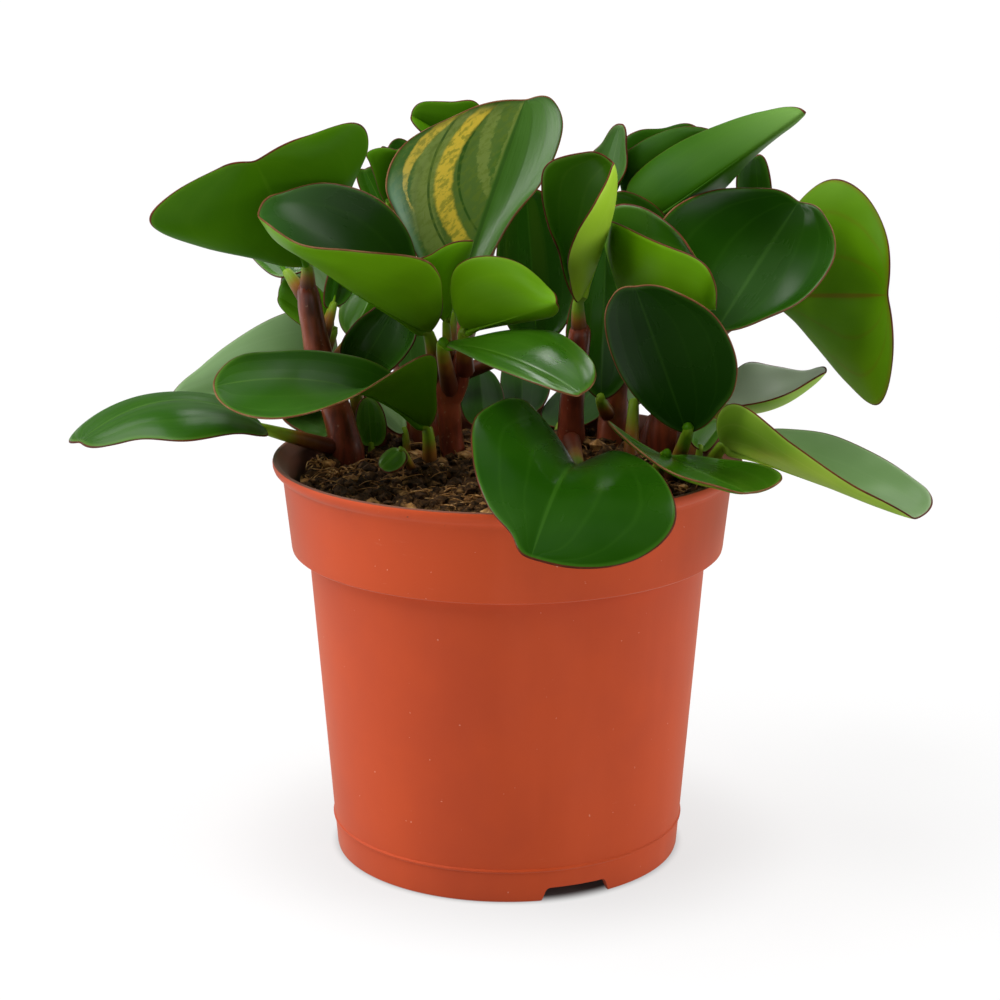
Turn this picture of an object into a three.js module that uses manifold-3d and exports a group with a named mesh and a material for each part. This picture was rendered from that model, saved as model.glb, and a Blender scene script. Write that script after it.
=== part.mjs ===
// A potted peperomia with thick glossy leaves, in millimetres, +Z up.
// The origin is the middle of the pot's foot, on the surface that the pot stands on.
// -Y is the front, where the heart-shaped leaf hangs over the lip, and +X is to the right.
import * as THREE from "three";
import { mergeVertices } from "three/addons/utils/BufferGeometryUtils.js";
import Module from "manifold-3d";

const wasm = await Module();
wasm.setup();

// Pot: a moulded nursery pot of 120 mm across its lip
const POT = {
  height: 104.3,
  lipRadius: 60,
  lipHeight: 3,
  collarTopRadius: 57.6,
  collarBottomRadius: 55.4,
  collarBottom: 80.5,
  bodyTopRadius: 51.2,
  ridgeHeight: 8.65,
  ridgeRadius: 45.8,
  footRadius: 44.8,
  wall: 1.6,
  floorHeight: 4,
  floorThickness: 1.8,
  segments: 40,
};
const NOTCH = { count: 3, firstAngle: -67, width: 17, depth: 3.6, slant: 1.5 };
const DRAIN = { count: 6, radius: 3.2, circle: 27, sides: 12 };

// Soil: a plug of peat, filled to just under the lip
const SOIL = {
  top: 97.5,
  bump: 1,
  mound: 2.5,
  moundY: 25,
  moundSpread: 30,
  rings: 5,
  sectors: 24,
  stepUp: 2,
  stepDown: 1,
  smallestDetail: 0.15,
};

// Leaves and stems
const GAP = 0.3;
const LEAF = {
  thickness: 0.9,
  smallestDetail: 0.1,
  columns: 7,
  rows: 9,
  plainColumns: 5,
  plainRows: 7,
  roundness: 0.85,
  cup: 0.1,
  broad: 0.24,
};
const PETIOLE = { rootRadius: 2.1, endRadius: 1.5, keelRadius: 0.7, keelReach: 0.15, sides: 6, steps: 4 };
const STEM = { sides: 8, stepsPerSpan: 2 };

const PLASTIC = material(0xc2593b, 0.42);
const PEAT = material(0x3a2717, 0.95);
const BARK = material(0x5d2a26, 0.4);
const LEAF_GREEN = material(0x2c6e1c, 0.3);

// Stems: points on the centre line from the buried end up, and the radius at each
const STEMS = [
  {"name": "stem_left",
   "path": [[-41, 15, 82], [-42, 16, 98], [-44, 18, 109], [-49, 22, 124], [-51, 22, 135], [-52, 21, 143]],
   "radii": [4.0, 4.2, 3.8, 3.4, 3.1, 2.5]},
  {"name": "stem_middle",
   "path": [[-13, 21, 82], [-14, 20, 96], [-15, 20, 106], [-16, 18, 118], [-17, 17, 124]],
   "radii": [3.4, 3.6, 3.2, 3.2, 2.6],
   "arm": [[-15, 18, 115], [-13, 17, 121], [-12, 15, 126]],
   "armRadii": [2.8, 2.6, 2.2]},
  {"name": "stem_centre",
   "path": [[17, 29, 82], [17, 28, 98], [17, 27, 110], [18, 25, 121], [19, 22, 132]],
   "radii": [3.4, 3.6, 3.3, 3.1, 2.7]},
  {"name": "stem_right",
   "path": [[40, 20, 82], [40, 20, 98], [42, 19, 114], [44, 18, 128], [43, 22, 142]],
   "radii": [3.9, 4.2, 3.8, 3.3, 2.4]},
  {"name": "stem_back_left",
   "path": [[-25, 39, 82], [-26, 40, 98], [-28, 43, 124], [-30, 43, 144], [-30, 43, 154]],
   "radii": [3.6, 3.8, 3.4, 3.0, 2.4]},
  {"name": "stem_back_middle",
   "path": [[-16, 44, 82], [-17, 45, 98], [-16, 50, 112], [-9, 57, 135], [-4, 62, 158]],
   "radii": [3.4, 3.6, 3.4, 3.0, 2.4]},
  {"name": "stem_back_right",
   "path": [[28, 36, 82], [28, 38, 98], [31, 44, 120], [33, 48, 140], [33, 49, 150]],
   "radii": [3.8, 4.0, 3.6, 3.0, 2.4]},
];

// Leaves. Each petiole runs from its root to the base of the blade. The midrib goes on to the tip, bowed
// by arch towards the upper face. left and right hold one, three or five places that the rim passes,
// evenly spaced from the base to the tip, seen on the upper face with the tip away.
const LEAVES = [
  {"name": "leaf_left_high", "on": "stem_left", "root": [-52, 21, 141.5], "base": [-52, 20, 149.5],
   "tip": [-62, -12, 181],
   "left": [[-46.5, 17, 157], [-39.5, 12, 172.5], [-35, 6, 183], [-38.5, 0, 189], [-50.5, -6, 186]],
   "right": [[-63, 14, 152.5], [-76.5, 3, 157.5], [-88.5, -8, 165], [-82.5, -11, 173], [-70, -12, 179.5]]},
  {"name": "leaf_left_high_back", "on": "stem_left", "root": [-51, 23, 138], "base": [-57, 26, 146.5],
   "tip": [-73.5, 50, 161.5],
   "left": [[-69.5, 38, 151]],
   "right": [[-55.5, 46, 154.5]]},
  {"name": "leaf_spoon", "on": "stem_middle", "root": [-18, 17, 120], "base": [-20, 12, 133.5],
   "tip": [-60.5, -22, 169], "arch": -2, "cup": 0.1,
   "left": [[-16.5, -3, 145], [-17, -20, 155], [-22.5, -36, 161.5], [-37, -42, 164], [-51.5, -36, 165.5]],
   "right": [[-21.5, 14, 145.5], [-25, 14, 158.5], [-32.5, 7, 169], [-45.5, -3, 174.5], [-56.5, -13, 173]]},
  {"name": "leaf_striped", "on": "stem_middle", "root": [-16, 21, 118], "base": [-14.5, 20, 136.5],
   "tip": [5, 42, 190.5], "cup": 0.05,
   "left": [[-21.5, 20, 147.5], [-28, 20, 161.5], [-31.5, 22, 171], [-26, 29, 181], [-11, 37, 188]],
   "right": [[-7.5, 22, 146.5], [0.5, 26, 160.5], [9.5, 31, 171], [14.5, 37, 183.5], [12, 41, 190.5]]},
  {"name": "leaf_young", "on": "stem_middle", "root": [-15, 17, 120], "base": [-16, 13, 136],
   "tip": [-9, 4, 159], "left": [[-14, 14, 143], [-11, 10, 151], [-10, 8, 156]],
   "right": [[-19, 8, 143], [-23, 0, 154], [-18, 0, 157]], "petiole": 0.7},
  {"name": "leaf_round", "on": "stem_middle", "root": [-11, 15, 123], "base": [-11, 6, 135],
   "tip": [12.5, -16, 146.5],
   "left": [[-7, 8, 136.5], [-2, 9, 138], [3, 6, 139], [8, -2, 140.5], [12, -10, 143]],
   "right": [[-14, 3, 144], [-13, 0, 152.5], [-5.5, -3, 156], [4, -6, 154], [11, -11, 148.5]]},
  {"name": "leaf_shiny", "on": "stem_middle", "root": [-15, 16, 118], "base": [-16.5, -4, 134],
   "tip": [17.5, -44, 129.5], "arch": 3, "cup": -0.05,
   "left": [[-9.5, 0, 134.5], [0, -1, 137], [11.5, -11, 138.5], [19, -25, 136], [21.5, -35, 132.5]],
   "right": [[-13, -11, 133.5], [-5.5, -25, 133], [3, -37, 132], [10, -44, 131], [14.5, -46, 130]]},
  {"name": "leaf_left_low", "on": "soil", "root": [-20, 12, 91], "base": [-20.5, 10, 108.5],
   "tip": [-73.5, -14, 125], "arch": 7, "cup": 0.05,
   "left": [[-18, 3, 118.5], [-19, -8, 132.5], [-37, -33, 127], [-52.5, -37, 122.5], [-66, -29, 122]],
   "right": [[-23.5, 12, 116.5], [-32.5, 12, 125], [-45, 10, 129], [-59.5, 4, 130.5], [-70, -5, 130]]},
  {"name": "leaf_left_drooping", "on": "stem_left", "root": [-42, 17, 101], "base": [-62, 5, 110],
   "tip": [-108.5, -7, 109], "arch": 9, "cup": -0.12,
   "left": [[-64, -10, 112], [-79, -25, 113.5], [-96, -18, 111.5]],
   "right": [[-72, 16, 114], [-96, 16, 114], [-112, 8, 108]]},
  {"name": "leaf_left_pale", "on": "stem_left", "root": [-45, 20, 110], "base": [-46, 38, 114],
   "tip": [-90, 27, 113], "cup": -0.05,
   "left": [[-52, 24, 114], [-63, 19, 114], [-80, 20, 113]],
   "right": [[-47, 49, 127.5], [-54.5, 50, 133], [-65.5, 47, 130.5], [-76, 41, 124.5], [-85, 34, 118]]},
  {"name": "leaf_left_bud", "on": "stem_left", "root": [-50, 23, 121], "base": [-46, 31, 130],
   "tip": [-61, 35, 139], "petiole": 0.7,
   "left": [[-53, 37, 143]],
   "right": [[-55, 31, 132]]},
  {"name": "leaf_left_grey", "on": "stem_back_left", "root": [-29, 43, 126], "base": [-45, 46, 135],
   "tip": [-55, 52, 147], "left": [[-61, 52, 136]], "right": [[-45, 51, 145]], "petiole": 0.8},
  {"name": "leaf_left_inner", "on": "stem_left", "root": [-49, 23, 128], "base": [-46, 30, 137],
   "tip": [-43, 38, 152], "petiole": 0.8,
   "left": [[-48, 32, 143]],
   "right": [[-40, 38, 144]]},
  {"name": "leaf_left_bright", "on": "stem_left", "root": [-49, 24, 119], "base": [-42, 34, 128],
   "tip": [-35, 40, 141], "left": [[-44, 42, 138]], "right": [[-34, 36, 131]], "petiole": 0.8},
  {"name": "leaf_left_dark", "on": "soil", "root": [-38, 27, 91], "base": [-41, 29, 118],
   "tip": [-28, 17, 141], "left": [[-44, 25, 126], [-40, 23, 134], [-34, 19, 139]],
   "right": [[-32, 21, 121], [-24, 11, 132], [-25, 13, 139]]},
  {"name": "leaf_middle_pale", "on": "soil", "root": [-24, 30, 91], "base": [-25, 33, 117],
   "tip": [-27, 37, 131], "left": [[-30, 35, 124]], "right": [[-21, 35, 126]], "petiole": 0.8},
  {"name": "leaf_top_back", "on": "stem_back_middle", "root": [0, 61, 148], "base": [-6, 52, 173],
   "tip": [-26, 50, 185], "left": [[-7, 50, 187], [-15, 50, 189], [-22, 50, 189]],
   "right": [[-15, 46, 173], [-20, 46, 177], [-24, 46, 182]]},
  {"name": "leaf_top_small", "on": "stem_back_left", "root": [-29, 42, 136], "base": [-31, 32, 163],
   "tip": [-29, 34, 178], "left": [[-26, 32, 173]],
   "right": [[-34, 30, 169], [-36, 30, 175], [-36, 31, 178]], "petiole": 0.8},
  {"name": "leaf_top_dark", "on": "stem_back_left", "root": [-30, 42, 143], "base": [-32, 38, 160],
   "tip": [-38, 42, 172], "left": [[-39, 40, 167]], "right": [[-30, 40, 169]], "petiole": 0.7},
  {"name": "leaf_top_hidden", "on": "stem_back_left", "root": [-30, 42, 150], "base": [-25, 45, 169],
   "tip": [-32, 48, 177], "left": [[-32, 46, 175]], "right": [[-26, 48, 178]], "petiole": 0.8},
  {"name": "leaf_centre_dark", "on": "stem_back_middle", "root": [-15, 51, 114], "base": [8, 47, 124],
   "tip": [5, 56, 165], "left": [[-3, 51, 143]], "right": [[18, 50, 146]]},
  {"name": "leaf_upright", "on": "stem_centre", "root": [19, 23, 129], "base": [18, 19, 140],
   "tip": [26.5, 7, 178], "arch": -3, "cup": 0.12,
   "left": [[14, 15, 151.5], [10.5, 10, 161.5], [8.5, 8, 171], [10.5, 8, 178], [20.5, 9, 180.5]],
   "right": [[16, 11, 147.5], [15, 1, 155], [17, -7, 163], [21.5, -8, 170.5], [25, -1, 176.5]]},
  {"name": "leaf_streaked", "on": "stem_back_right", "root": [30, 43, 117], "bend": [27, 46, 134],
   "base": [24, 41, 155], "tip": [30, 43, 184], "left": [[22, 43, 166], [22, 45, 175], [26, 45, 180]],
   "right": [[27, 36, 165], [31, 37, 173], [31, 39, 180]]},
  {"name": "leaf_top_right_back", "on": "stem_back_right", "root": [33, 50, 146],
   "base": [32, 53, 162], "tip": [51, 52, 182], "left": [[49, 51, 172]],
   "right": [[30, 53, 175], [35, 53, 181], [44, 53, 182]]},
  {"name": "leaf_top_right", "on": "stem_back_right", "root": [34, 46, 138], "base": [34, 46, 159],
   "tip": [54, 36, 183], "left": [[51, 40, 172]], "right": [[30, 44, 172], [34, 44, 178], [42, 42, 182]]},
  {"name": "leaf_top_long", "on": "stem_right", "root": [42, 24, 137], "bend": [38, 32, 148],
   "base": [36.5, 34, 158], "tip": [74, 0, 192], "cup": 0.04,
   "left": [[46, 36, 161], [55.5, 37, 166.5], [62.5, 31, 175.5], [68.5, 19, 183.5], [72, 6, 188.5]],
   "right": [[31.5, 37, 164.5], [34, 39, 171], [45, 36, 179.5], [58, 25, 186.5], [68, 11, 191]]},
  {"name": "leaf_right_hidden", "on": "stem_back_right", "root": [33, 47, 132], "bend": [54, 47, 140],
   "base": [68, 44, 155], "tip": [66, 46, 175], "left": [[61, 44, 167]], "right": [[70, 44, 168]]},
  {"name": "leaf_right_broad", "on": "stem_right", "root": [44, 18, 126], "base": [53, 6, 135],
   "tip": [76, 28, 165.5],
   "left": [[47.5, 12, 141], [39.5, 19, 154], [41.5, 21.5, 163.5], [53.5, 24, 169], [68, 28, 169]],
   "right": [[63.5, 3, 138.5], [74, 1, 144], [81.5, 3, 152.5], [83, 9, 159], [81, 20, 164]]},
  {"name": "leaf_right_hanging", "on": "stem_right", "root": [43, 20, 121], "bend": [58, 37, 130],
   "base": [72, 46, 137], "tip": [98, 13, 143.5],
   "left": [[76, 43, 132.5], [82.5, 37, 126], [90.5, 28, 117], [97.5, 18, 113.5], [100, 13, 126.5]],
   "right": [[73, 45, 152.5], [78.5, 41, 164.5], [86, 34, 170.5], [93.5, 25, 167], [98, 17, 157]]},
  {"name": "leaf_right_cupped", "on": "stem_right", "root": [43, 19, 123], "base": [32, 15, 137],
   "tip": [51, -20, 146], "arch": -1,
   "left": [[27, 22, 155], [27, 24, 164.5], [35, 20, 165], [43, 10, 160], [47.5, -2, 154]],
   "right": [[27, 20, 152.5], [25, 21, 161.5], [35.5, -9, 161.5], [46, -24, 159], [50, -28, 154.5]]},
  {"name": "leaf_right_inner", "on": "stem_right", "root": [44, 20, 137], "base": [41.5, 26, 157.5],
   "tip": [27, 28, 166.5], "petiole": 0.8,
   "left": [[34, 27, 160]],
   "right": [[36, 27, 166]]},
  {"name": "leaf_front_dark", "on": "soil", "root": [41, 10, 91], "base": [44.5, -20, 114],
   "tip": [30.5, -30, 153], "cup": 0.06,
   "left": [[36.5, -21, 118.5], [29.5, -25, 127], [25, -28, 136.5], [23.5, -30, 145.5], [25.5, -30, 151]],
   "right": [[51, -25, 120], [55, -29, 127], [55, -32, 136.5], [49, -34, 147], [39, -33, 152.5]]},
  {"name": "leaf_front_heart", "on": "stem_centre", "root": [17, 26, 102], "base": [17.5, -26, 107],
   "tip": [5, -76, 98], "arch": 8, "cup": -0.04,
   "left": [[24.5, -27, 111.5], [34.5, -42, 112], [39.5, -62, 106.5], [35, -73, 100.5], [22, -77, 96]],
   "right": [[6.5, -18, 121], [-6.5, -30, 122.5], [-8.5, -48, 115.5], [-4.5, -64, 107.5], [1.5, -73, 101.5]]},
  {"name": "leaf_front_folded", "on": "soil", "root": [35, -4, 91], "base": [39, -20, 109],
   "tip": [57, -50, 107], "left": [[48, -16, 108], [62, -24, 108], [66, -40, 108]],
   "right": [[25, -26, 119], [37, -44, 112], [50, -51, 109]]},
  {"name": "leaf_right_low", "on": "soil", "root": [47, 3, 91], "base": [54, -10, 109],
   "tip": [99, -40, 98], "left": [[70, 5, 110], [88, 5, 107], [104, -22, 101]],
   "right": [[55, -20, 122], [69, -36, 116], [87, -42, 105]]},
  {"name": "leaf_right_pale", "on": "soil", "root": [46, 13, 91], "bend": [49, 17, 104],
   "base": [57, 24, 111], "tip": [83, 16, 123], "left": [[62, 36, 120], [72, 38, 120], [81, 28, 121]],
   "right": [[59, 6, 116], [68, 2, 119], [77, 8, 122]], "arch": -3},
  {"name": "leaf_front_small", "on": "soil", "root": [48, -5, 92], "base": [49, -7, 107],
   "tip": [55, 0, 113], "left": [[47, -9, 114]], "right": [[53, -5, 109]], "petiole": 0.6},
  {"name": "seedling", "on": "soil", "root": [-22, 8, 93], "base": [-27, 2, 105],
   "tip": [-32, -6, 102], "left": [[-27, -8, 103]], "right": [[-32, 2, 104]], "petiole": 0.6},
  {"name": "leaf_centre_narrow", "on": "stem_back_right", "root": [28, 39, 105], "base": [25, 33, 111],
   "tip": [26, 36, 155], "left": [[17, 33, 123], [16, 35, 133], [20, 37, 146]],
   "right": [[33, 31, 120], [35, 31, 134], [32, 35, 148]]},
  {"name": "leaf_left_lower_back", "on": "stem_left", "root": [-42, 17, 101], "base": [-47, 23, 105],
   "tip": [-60, 26, 110], "left": [[-53, 14, 107]], "right": [[-53, 31, 111]], "petiole": 0.7},
  {"name": "leaf_middle_narrow", "on": "soil", "root": [-35, 22, 91], "base": [-36, 22, 101],
   "tip": [-37, 25, 114], "left": [[-40, 23, 107]], "right": [[-32, 23, 107]], "petiole": 0.6},
  {"name": "leaf_middle_grey", "on": "soil", "root": [-26, 24, 91], "base": [-27, 27, 104],
   "tip": [-38, 32, 115], "left": [[-34, 26, 108]], "right": [[-31, 34, 112]], "petiole": 0.6},
  {"name": "leaf_back_1", "on": "soil", "root": [-33, 32, 91], "bend": [-37, 39, 106],
   "base": [-50, 54, 116], "tip": [-82, 70, 106], "left": [[-76, 52, 112]], "right": [[-60, 73, 113]]},
  {"name": "leaf_back_2", "on": "stem_back_left", "root": [-29, 43, 134], "base": [-34, 58, 139],
   "tip": [-48, 76, 134],
   "left": [[-54, 62, 142]],
   "right": [[-30, 75, 139]]},
  {"name": "leaf_back_3", "on": "stem_back_middle", "root": [-4, 61, 150], "base": [-7, 66, 159],
   "tip": [-19, 76, 171],
   "left": [[-26, 67, 168]],
   "right": [[-2, 76, 166]]},
  {"name": "leaf_back_4", "on": "stem_back_right", "root": [33, 48, 142], "base": [42, 55, 147],
   "tip": [62, 76, 140], "left": [[40, 75, 146]], "right": [[66, 56, 144]]},
  {"name": "leaf_back_5", "on": "soil", "root": [36, 27, 93], "bend": [43, 34, 108],
   "base": [80, 56, 95], "tip": [112, 68, 79], "left": [[90, 77, 84]], "right": [[99, 46, 90]]},
  {"name": "leaf_inner_left", "on": "soil", "root": [-3, 30, 91], "base": [-6, 34, 104],
   "tip": [-8, 64, 114], "left": [[-13, 50, 108]], "right": [[-1, 50, 109]], "petiole": 0.8},
  {"name": "leaf_inner_middle", "on": "soil", "root": [4, 37, 91], "base": [4, 41, 105],
   "tip": [4, 77, 117], "left": [[-2, 62, 111]], "right": [[12, 62, 112]], "petiole": 0.8},
  {"name": "leaf_inner_right", "on": "soil", "root": [12, 33, 91], "base": [14, 37, 103],
   "tip": [30, 74, 112], "left": [[13, 58, 108]], "right": [[30, 53, 107]], "petiole": 0.8},
  {"name": "leaf_right_behind", "on": "soil", "root": [32, 13, 91], "base": [33, 20, 112],
   "tip": [39, 26, 134], "left": [[33, 25, 123]], "right": [[42, 23, 126]]},
];

function material(color, roughness) {
  return new THREE.MeshStandardMaterial({ color, roughness, metalness: 0 });
}

// Solids

function toSolid(geometry) {
  const bare = geometry.clone();
  bare.deleteAttribute("normal");
  bare.deleteAttribute("uv");
  const merged = mergeVertices(bare, 1e-5);
  return new wasm.Manifold(
    new wasm.Mesh({
      numProp: 3,
      vertProperties: new Float32Array(merged.attributes.position.array),
      triVerts: new Uint32Array(merged.index.array),
    }),
  );
}

function toGeometry(solid) {
  const mesh = solid.getMesh();
  const geometry = new THREE.BufferGeometry();
  geometry.setAttribute("position", new THREE.BufferAttribute(mesh.vertProperties, 3));
  geometry.setIndex(new THREE.BufferAttribute(mesh.triVerts, 1));
  geometry.computeVertexNormals();
  return geometry;
}

function fromTriangles(points, triangles) {
  const geometry = new THREE.BufferGeometry();
  geometry.setAttribute("position", new THREE.Float32BufferAttribute(points.flatMap((p) => p.toArray()), 3));
  geometry.setIndex(triangles);
  return geometry;
}

const vector = (p) => new THREE.Vector3(...p);
const onLine = (a, b, s) => new THREE.Vector3().lerpVectors(a, b, s);

// A round rod along a smooth curve through points, with its own radius at each
function rod(points, radii, sides, steps, swell = 0) {
  const curve = new THREE.CatmullRomCurve3(points);
  const frames = curve.computeFrenetFrames(steps);
  const rings = [];
  for (let i = 0; i <= steps; i++) {
    const place = (i / steps) * (radii.length - 1);
    const k = Math.min(Math.floor(place), radii.length - 2);
    const radius = THREE.MathUtils.lerp(radii[k], radii[k + 1], place - k) + swell;
    const centre = curve.getPoint(i / steps);
    for (let j = 0; j < sides; j++) {
      const angle = (2 * Math.PI * j) / sides;
      rings.push(
        centre
          .clone()
          .addScaledVector(frames.normals[i], radius * Math.cos(angle))
          .addScaledVector(frames.binormals[i], radius * Math.sin(angle)),
      );
    }
  }
  const triangles = [];
  for (let i = 0; i < steps; i++) {
    for (let j = 0; j < sides; j++) {
      const a = i * sides + j;
      const b = i * sides + ((j + 1) % sides);
      triangles.push(a, b, b + sides, a, b + sides, a + sides);
    }
  }
  const first = rings.push(curve.getPoint(0)) - 1;
  const last = rings.push(curve.getPoint(1)) - 1;
  for (let j = 0; j < sides; j++) {
    const next = (j + 1) % sides;
    triangles.push(first, next, j, last, steps * sides + j, steps * sides + next);
  }
  return toSolid(fromTriangles(rings, triangles));
}

function stemSolid(stem, swell = 0) {
  const steps = (stem.path.length - 1) * STEM.stepsPerSpan;
  let solid = rod(stem.path.map(vector), stem.radii, STEM.sides, steps, swell);
  if (stem.arm) {
    const armSteps = (stem.arm.length - 1) * STEM.stepsPerSpan;
    solid = solid.add(rod(stem.arm.map(vector), stem.armRadii, STEM.sides, armSteps, swell));
  }
  return solid;
}

// Leaf blades: a grid of points on the upper face, in rows from the base to the tip

const along = (t) => 0.5 - 0.5 * Math.cos(Math.PI * t);
const reach = (t) => Math.pow(Math.max(Math.sin(Math.PI * t), 0), LEAF.roundness);

function upOf(leaf) {
  const middle = (edge) => vector(edge[Math.floor(edge.length / 2)]);
  const across = middle(leaf.right).sub(middle(leaf.left));
  return across.cross(vector(leaf.tip).sub(vector(leaf.base))).normalize();
}

function midribOf(leaf) {
  const base = vector(leaf.base);
  const tip = vector(leaf.tip);
  const up = upOf(leaf);
  return (s) => onLine(base, tip, s).addScaledVector(up, (leaf.arch ?? 0) * 4 * s * (1 - s));
}

// The arm from the midrib to the rim, as a smooth function of the place along the blade
function armOf(edge, midrib) {
  const step = 1 / (edge.length + 1);
  const arms = edge.map((p, i) => {
    const t = (i + 1) * step;
    return vector(p).sub(midrib(along(t))).divideScalar(reach(t));
  });
  if (arms.length === 1) return (t) => arms[0].clone().multiplyScalar(1 + LEAF.broad * (0.5 - t));
  const ends = [arms[1], ...arms, arms[arms.length - 2]];
  const curve = new THREE.CatmullRomCurve3(ends, false, "catmullrom");
  return (t) => curve.getPoint(THREE.MathUtils.clamp(t / step, 1, arms.length) / (arms.length + 1));
}

// Leaves with a full outline have a finer grid than the plain ones
function gridOf(leaf) {
  if (leaf.left.length > 1) return { columns: LEAF.columns, rows: LEAF.rows };
  return { columns: LEAF.plainColumns, rows: LEAF.plainRows };
}

function bladeRows(leaf) {
  const grid = gridOf(leaf);
  const midrib = midribOf(leaf);
  const chord = vector(leaf.tip).sub(vector(leaf.base)).normalize();
  const sides = [
    { arm: armOf(leaf.left, midrib), turn: 1 },
    { arm: armOf(leaf.right, midrib), turn: -1 },
  ];
  const half = (grid.columns - 1) / 2;
  const rows = [];
  for (let i = 1; i < grid.rows - 1; i++) {
    const t = i / (grid.rows - 1);
    const centre = midrib(along(t));
    const [left, right] = sides.map(({ arm, turn }) => {
      const full = arm(t);
      const down = full.clone().cross(chord).normalize().multiplyScalar(turn);
      const reached = full.multiplyScalar(reach(t));
      const sag = (leaf.cup ?? LEAF.cup) * reached.length();
      const points = [];
      for (let j = 1; j <= half; j++) {
        const u = j / half;
        points.push(
          centre
            .clone()
            .addScaledVector(reached, u)
            .addScaledVector(down, sag * 4 * u * (1 - u)),
        );
      }
      return points;
    });
    rows.push([...left.reverse(), centre, ...right]);
  }
  return rows;
}

function bladeSolid(leaf) {
  const rows = bladeRows(leaf);
  const { columns } = gridOf(leaf);
  const top = [...rows.flat(), vector(leaf.base), vector(leaf.tip)];
  const first = rows.length * columns;
  const last = first + 1;
  const faces = [];
  for (let i = 0; i < rows.length - 1; i++) {
    for (let j = 0; j < columns - 1; j++) {
      const a = i * columns + j;
      faces.push([a, a + 1, a + columns + 1], [a, a + columns + 1, a + columns]);
    }
  }
  for (let j = 0; j < columns - 1; j++) {
    faces.push([first, j + 1, j]);
    faces.push([last, first - columns + j, first - columns + j + 1]);
  }
  const shell = fromTriangles(top, faces.flat());
  shell.computeVertexNormals();
  const normals = shell.attributes.normal;
  const under = top.map((p, i) =>
    p.clone().addScaledVector(new THREE.Vector3().fromBufferAttribute(normals, i), -LEAF.thickness),
  );
  const count = top.length;
  const triangles = faces.flat();
  for (const [a, b, c] of faces) triangles.push(a + count, c + count, b + count);
  const rim = [first];
  for (let i = 0; i < rows.length; i++) rim.push(i * columns + columns - 1);
  rim.push(last);
  for (let i = rows.length - 1; i >= 0; i--) rim.push(i * columns);
  rim.forEach((a, i) => {
    const b = rim[(i + 1) % rim.length];
    triangles.push(a, a + count, b + count, a, b + count, b);
  });
  return toSolid(fromTriangles([...top, ...under], triangles));
}

// The petiole goes on under the midrib as a keel that sinks into the blade
function petioleSolid(leaf, swell = 0) {
  const midrib = midribOf(leaf);
  const down = upOf(leaf).negate();
  const size = leaf.petiole ?? 1;
  const root = vector(leaf.root);
  const base = midrib(0).addScaledVector(down, LEAF.thickness / 2);
  const keel = midrib(PETIOLE.keelReach).addScaledVector(down, LEAF.thickness / 2);
  const bend = leaf.bend ? [vector(leaf.bend)] : [];
  const radii = [PETIOLE.rootRadius, PETIOLE.endRadius, PETIOLE.keelRadius];
  if (leaf.bend) radii.splice(1, 0, (PETIOLE.rootRadius + PETIOLE.endRadius) / 2);
  const thick = radii.map((r) => r * size);
  return rod([root, ...bend, base, keel], thick, PETIOLE.sides, PETIOLE.steps + bend.length, swell);
}

function leafSolid(leaf, stems) {
  let solid = bladeSolid(leaf).add(petioleSolid(leaf));
  const carrier = stems.find((stem) => stem.name === leaf.on);
  if (carrier) solid = solid.subtract(stemSolid(carrier, GAP));
  return solid.asOriginal().simplify(LEAF.smallestDetail);
}

// Soil

function soilHeight(x, y) {
  const { top, bump, mound, moundY, moundSpread } = SOIL;
  const bumps = Math.sin(0.31 * x + 0.7) * Math.cos(0.27 * y - 0.4) + 0.5 * Math.sin(0.53 * x - 0.35 * y);
  const toMound = Math.hypot(x, y - moundY) / moundSpread;
  return top + bump * bumps + mound * Math.exp(-toMound * toMound);
}

function innerRadius(z) {
  const { wall, footRadius, bodyTopRadius, collarBottom, collarBottomRadius, collarTopRadius, height } = POT;
  const outside =
    z < collarBottom
      ? THREE.MathUtils.mapLinear(z, 0, collarBottom, footRadius, bodyTopRadius)
      : THREE.MathUtils.mapLinear(z, collarBottom, height, collarBottomRadius, collarTopRadius);
  return outside - wall;
}

function soilSolid() {
  const { rings, sectors } = SOIL;
  const floor = POT.floorHeight + POT.floorThickness + GAP;
  const upper = POT.collarBottom + SOIL.stepUp;
  const lower = POT.collarBottom - SOIL.stepDown;
  const radiusAt = (z) => innerRadius(z) * Math.cos(Math.PI / POT.segments) - GAP;
  const points = [];
  const triangles = [];
  const ring = (radius, height) => {
    for (let j = 0; j < sectors; j++) {
      const angle = (2 * Math.PI * j) / sectors;
      const x = radius * Math.cos(angle);
      const y = radius * Math.sin(angle);
      points.push(new THREE.Vector3(x, y, height(x, y)));
    }
  };
  for (let i = 1; i <= rings; i++) ring((radiusAt(SOIL.top - 2 * SOIL.bump) * i) / rings, soilHeight);
  for (const z of [upper, lower, floor]) ring(radiusAt(z), () => z);
  const count = rings + 3;
  const top = points.push(new THREE.Vector3(0, 0, soilHeight(0, 0))) - 1;
  const bottom = points.push(new THREE.Vector3(0, 0, floor)) - 1;
  for (let j = 0; j < sectors; j++) {
    const next = (j + 1) % sectors;
    triangles.push(top, j, next);
    for (let i = 0; i < count - 1; i++) {
      const a = i * sectors + j;
      const b = i * sectors + next;
      triangles.push(a, a + sectors, b + sectors, a, b + sectors, b);
    }
    const edge = (count - 1) * sectors;
    triangles.push(bottom, edge + next, edge + j);
  }
  return toSolid(fromTriangles(points, triangles));
}

// Pot

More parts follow.
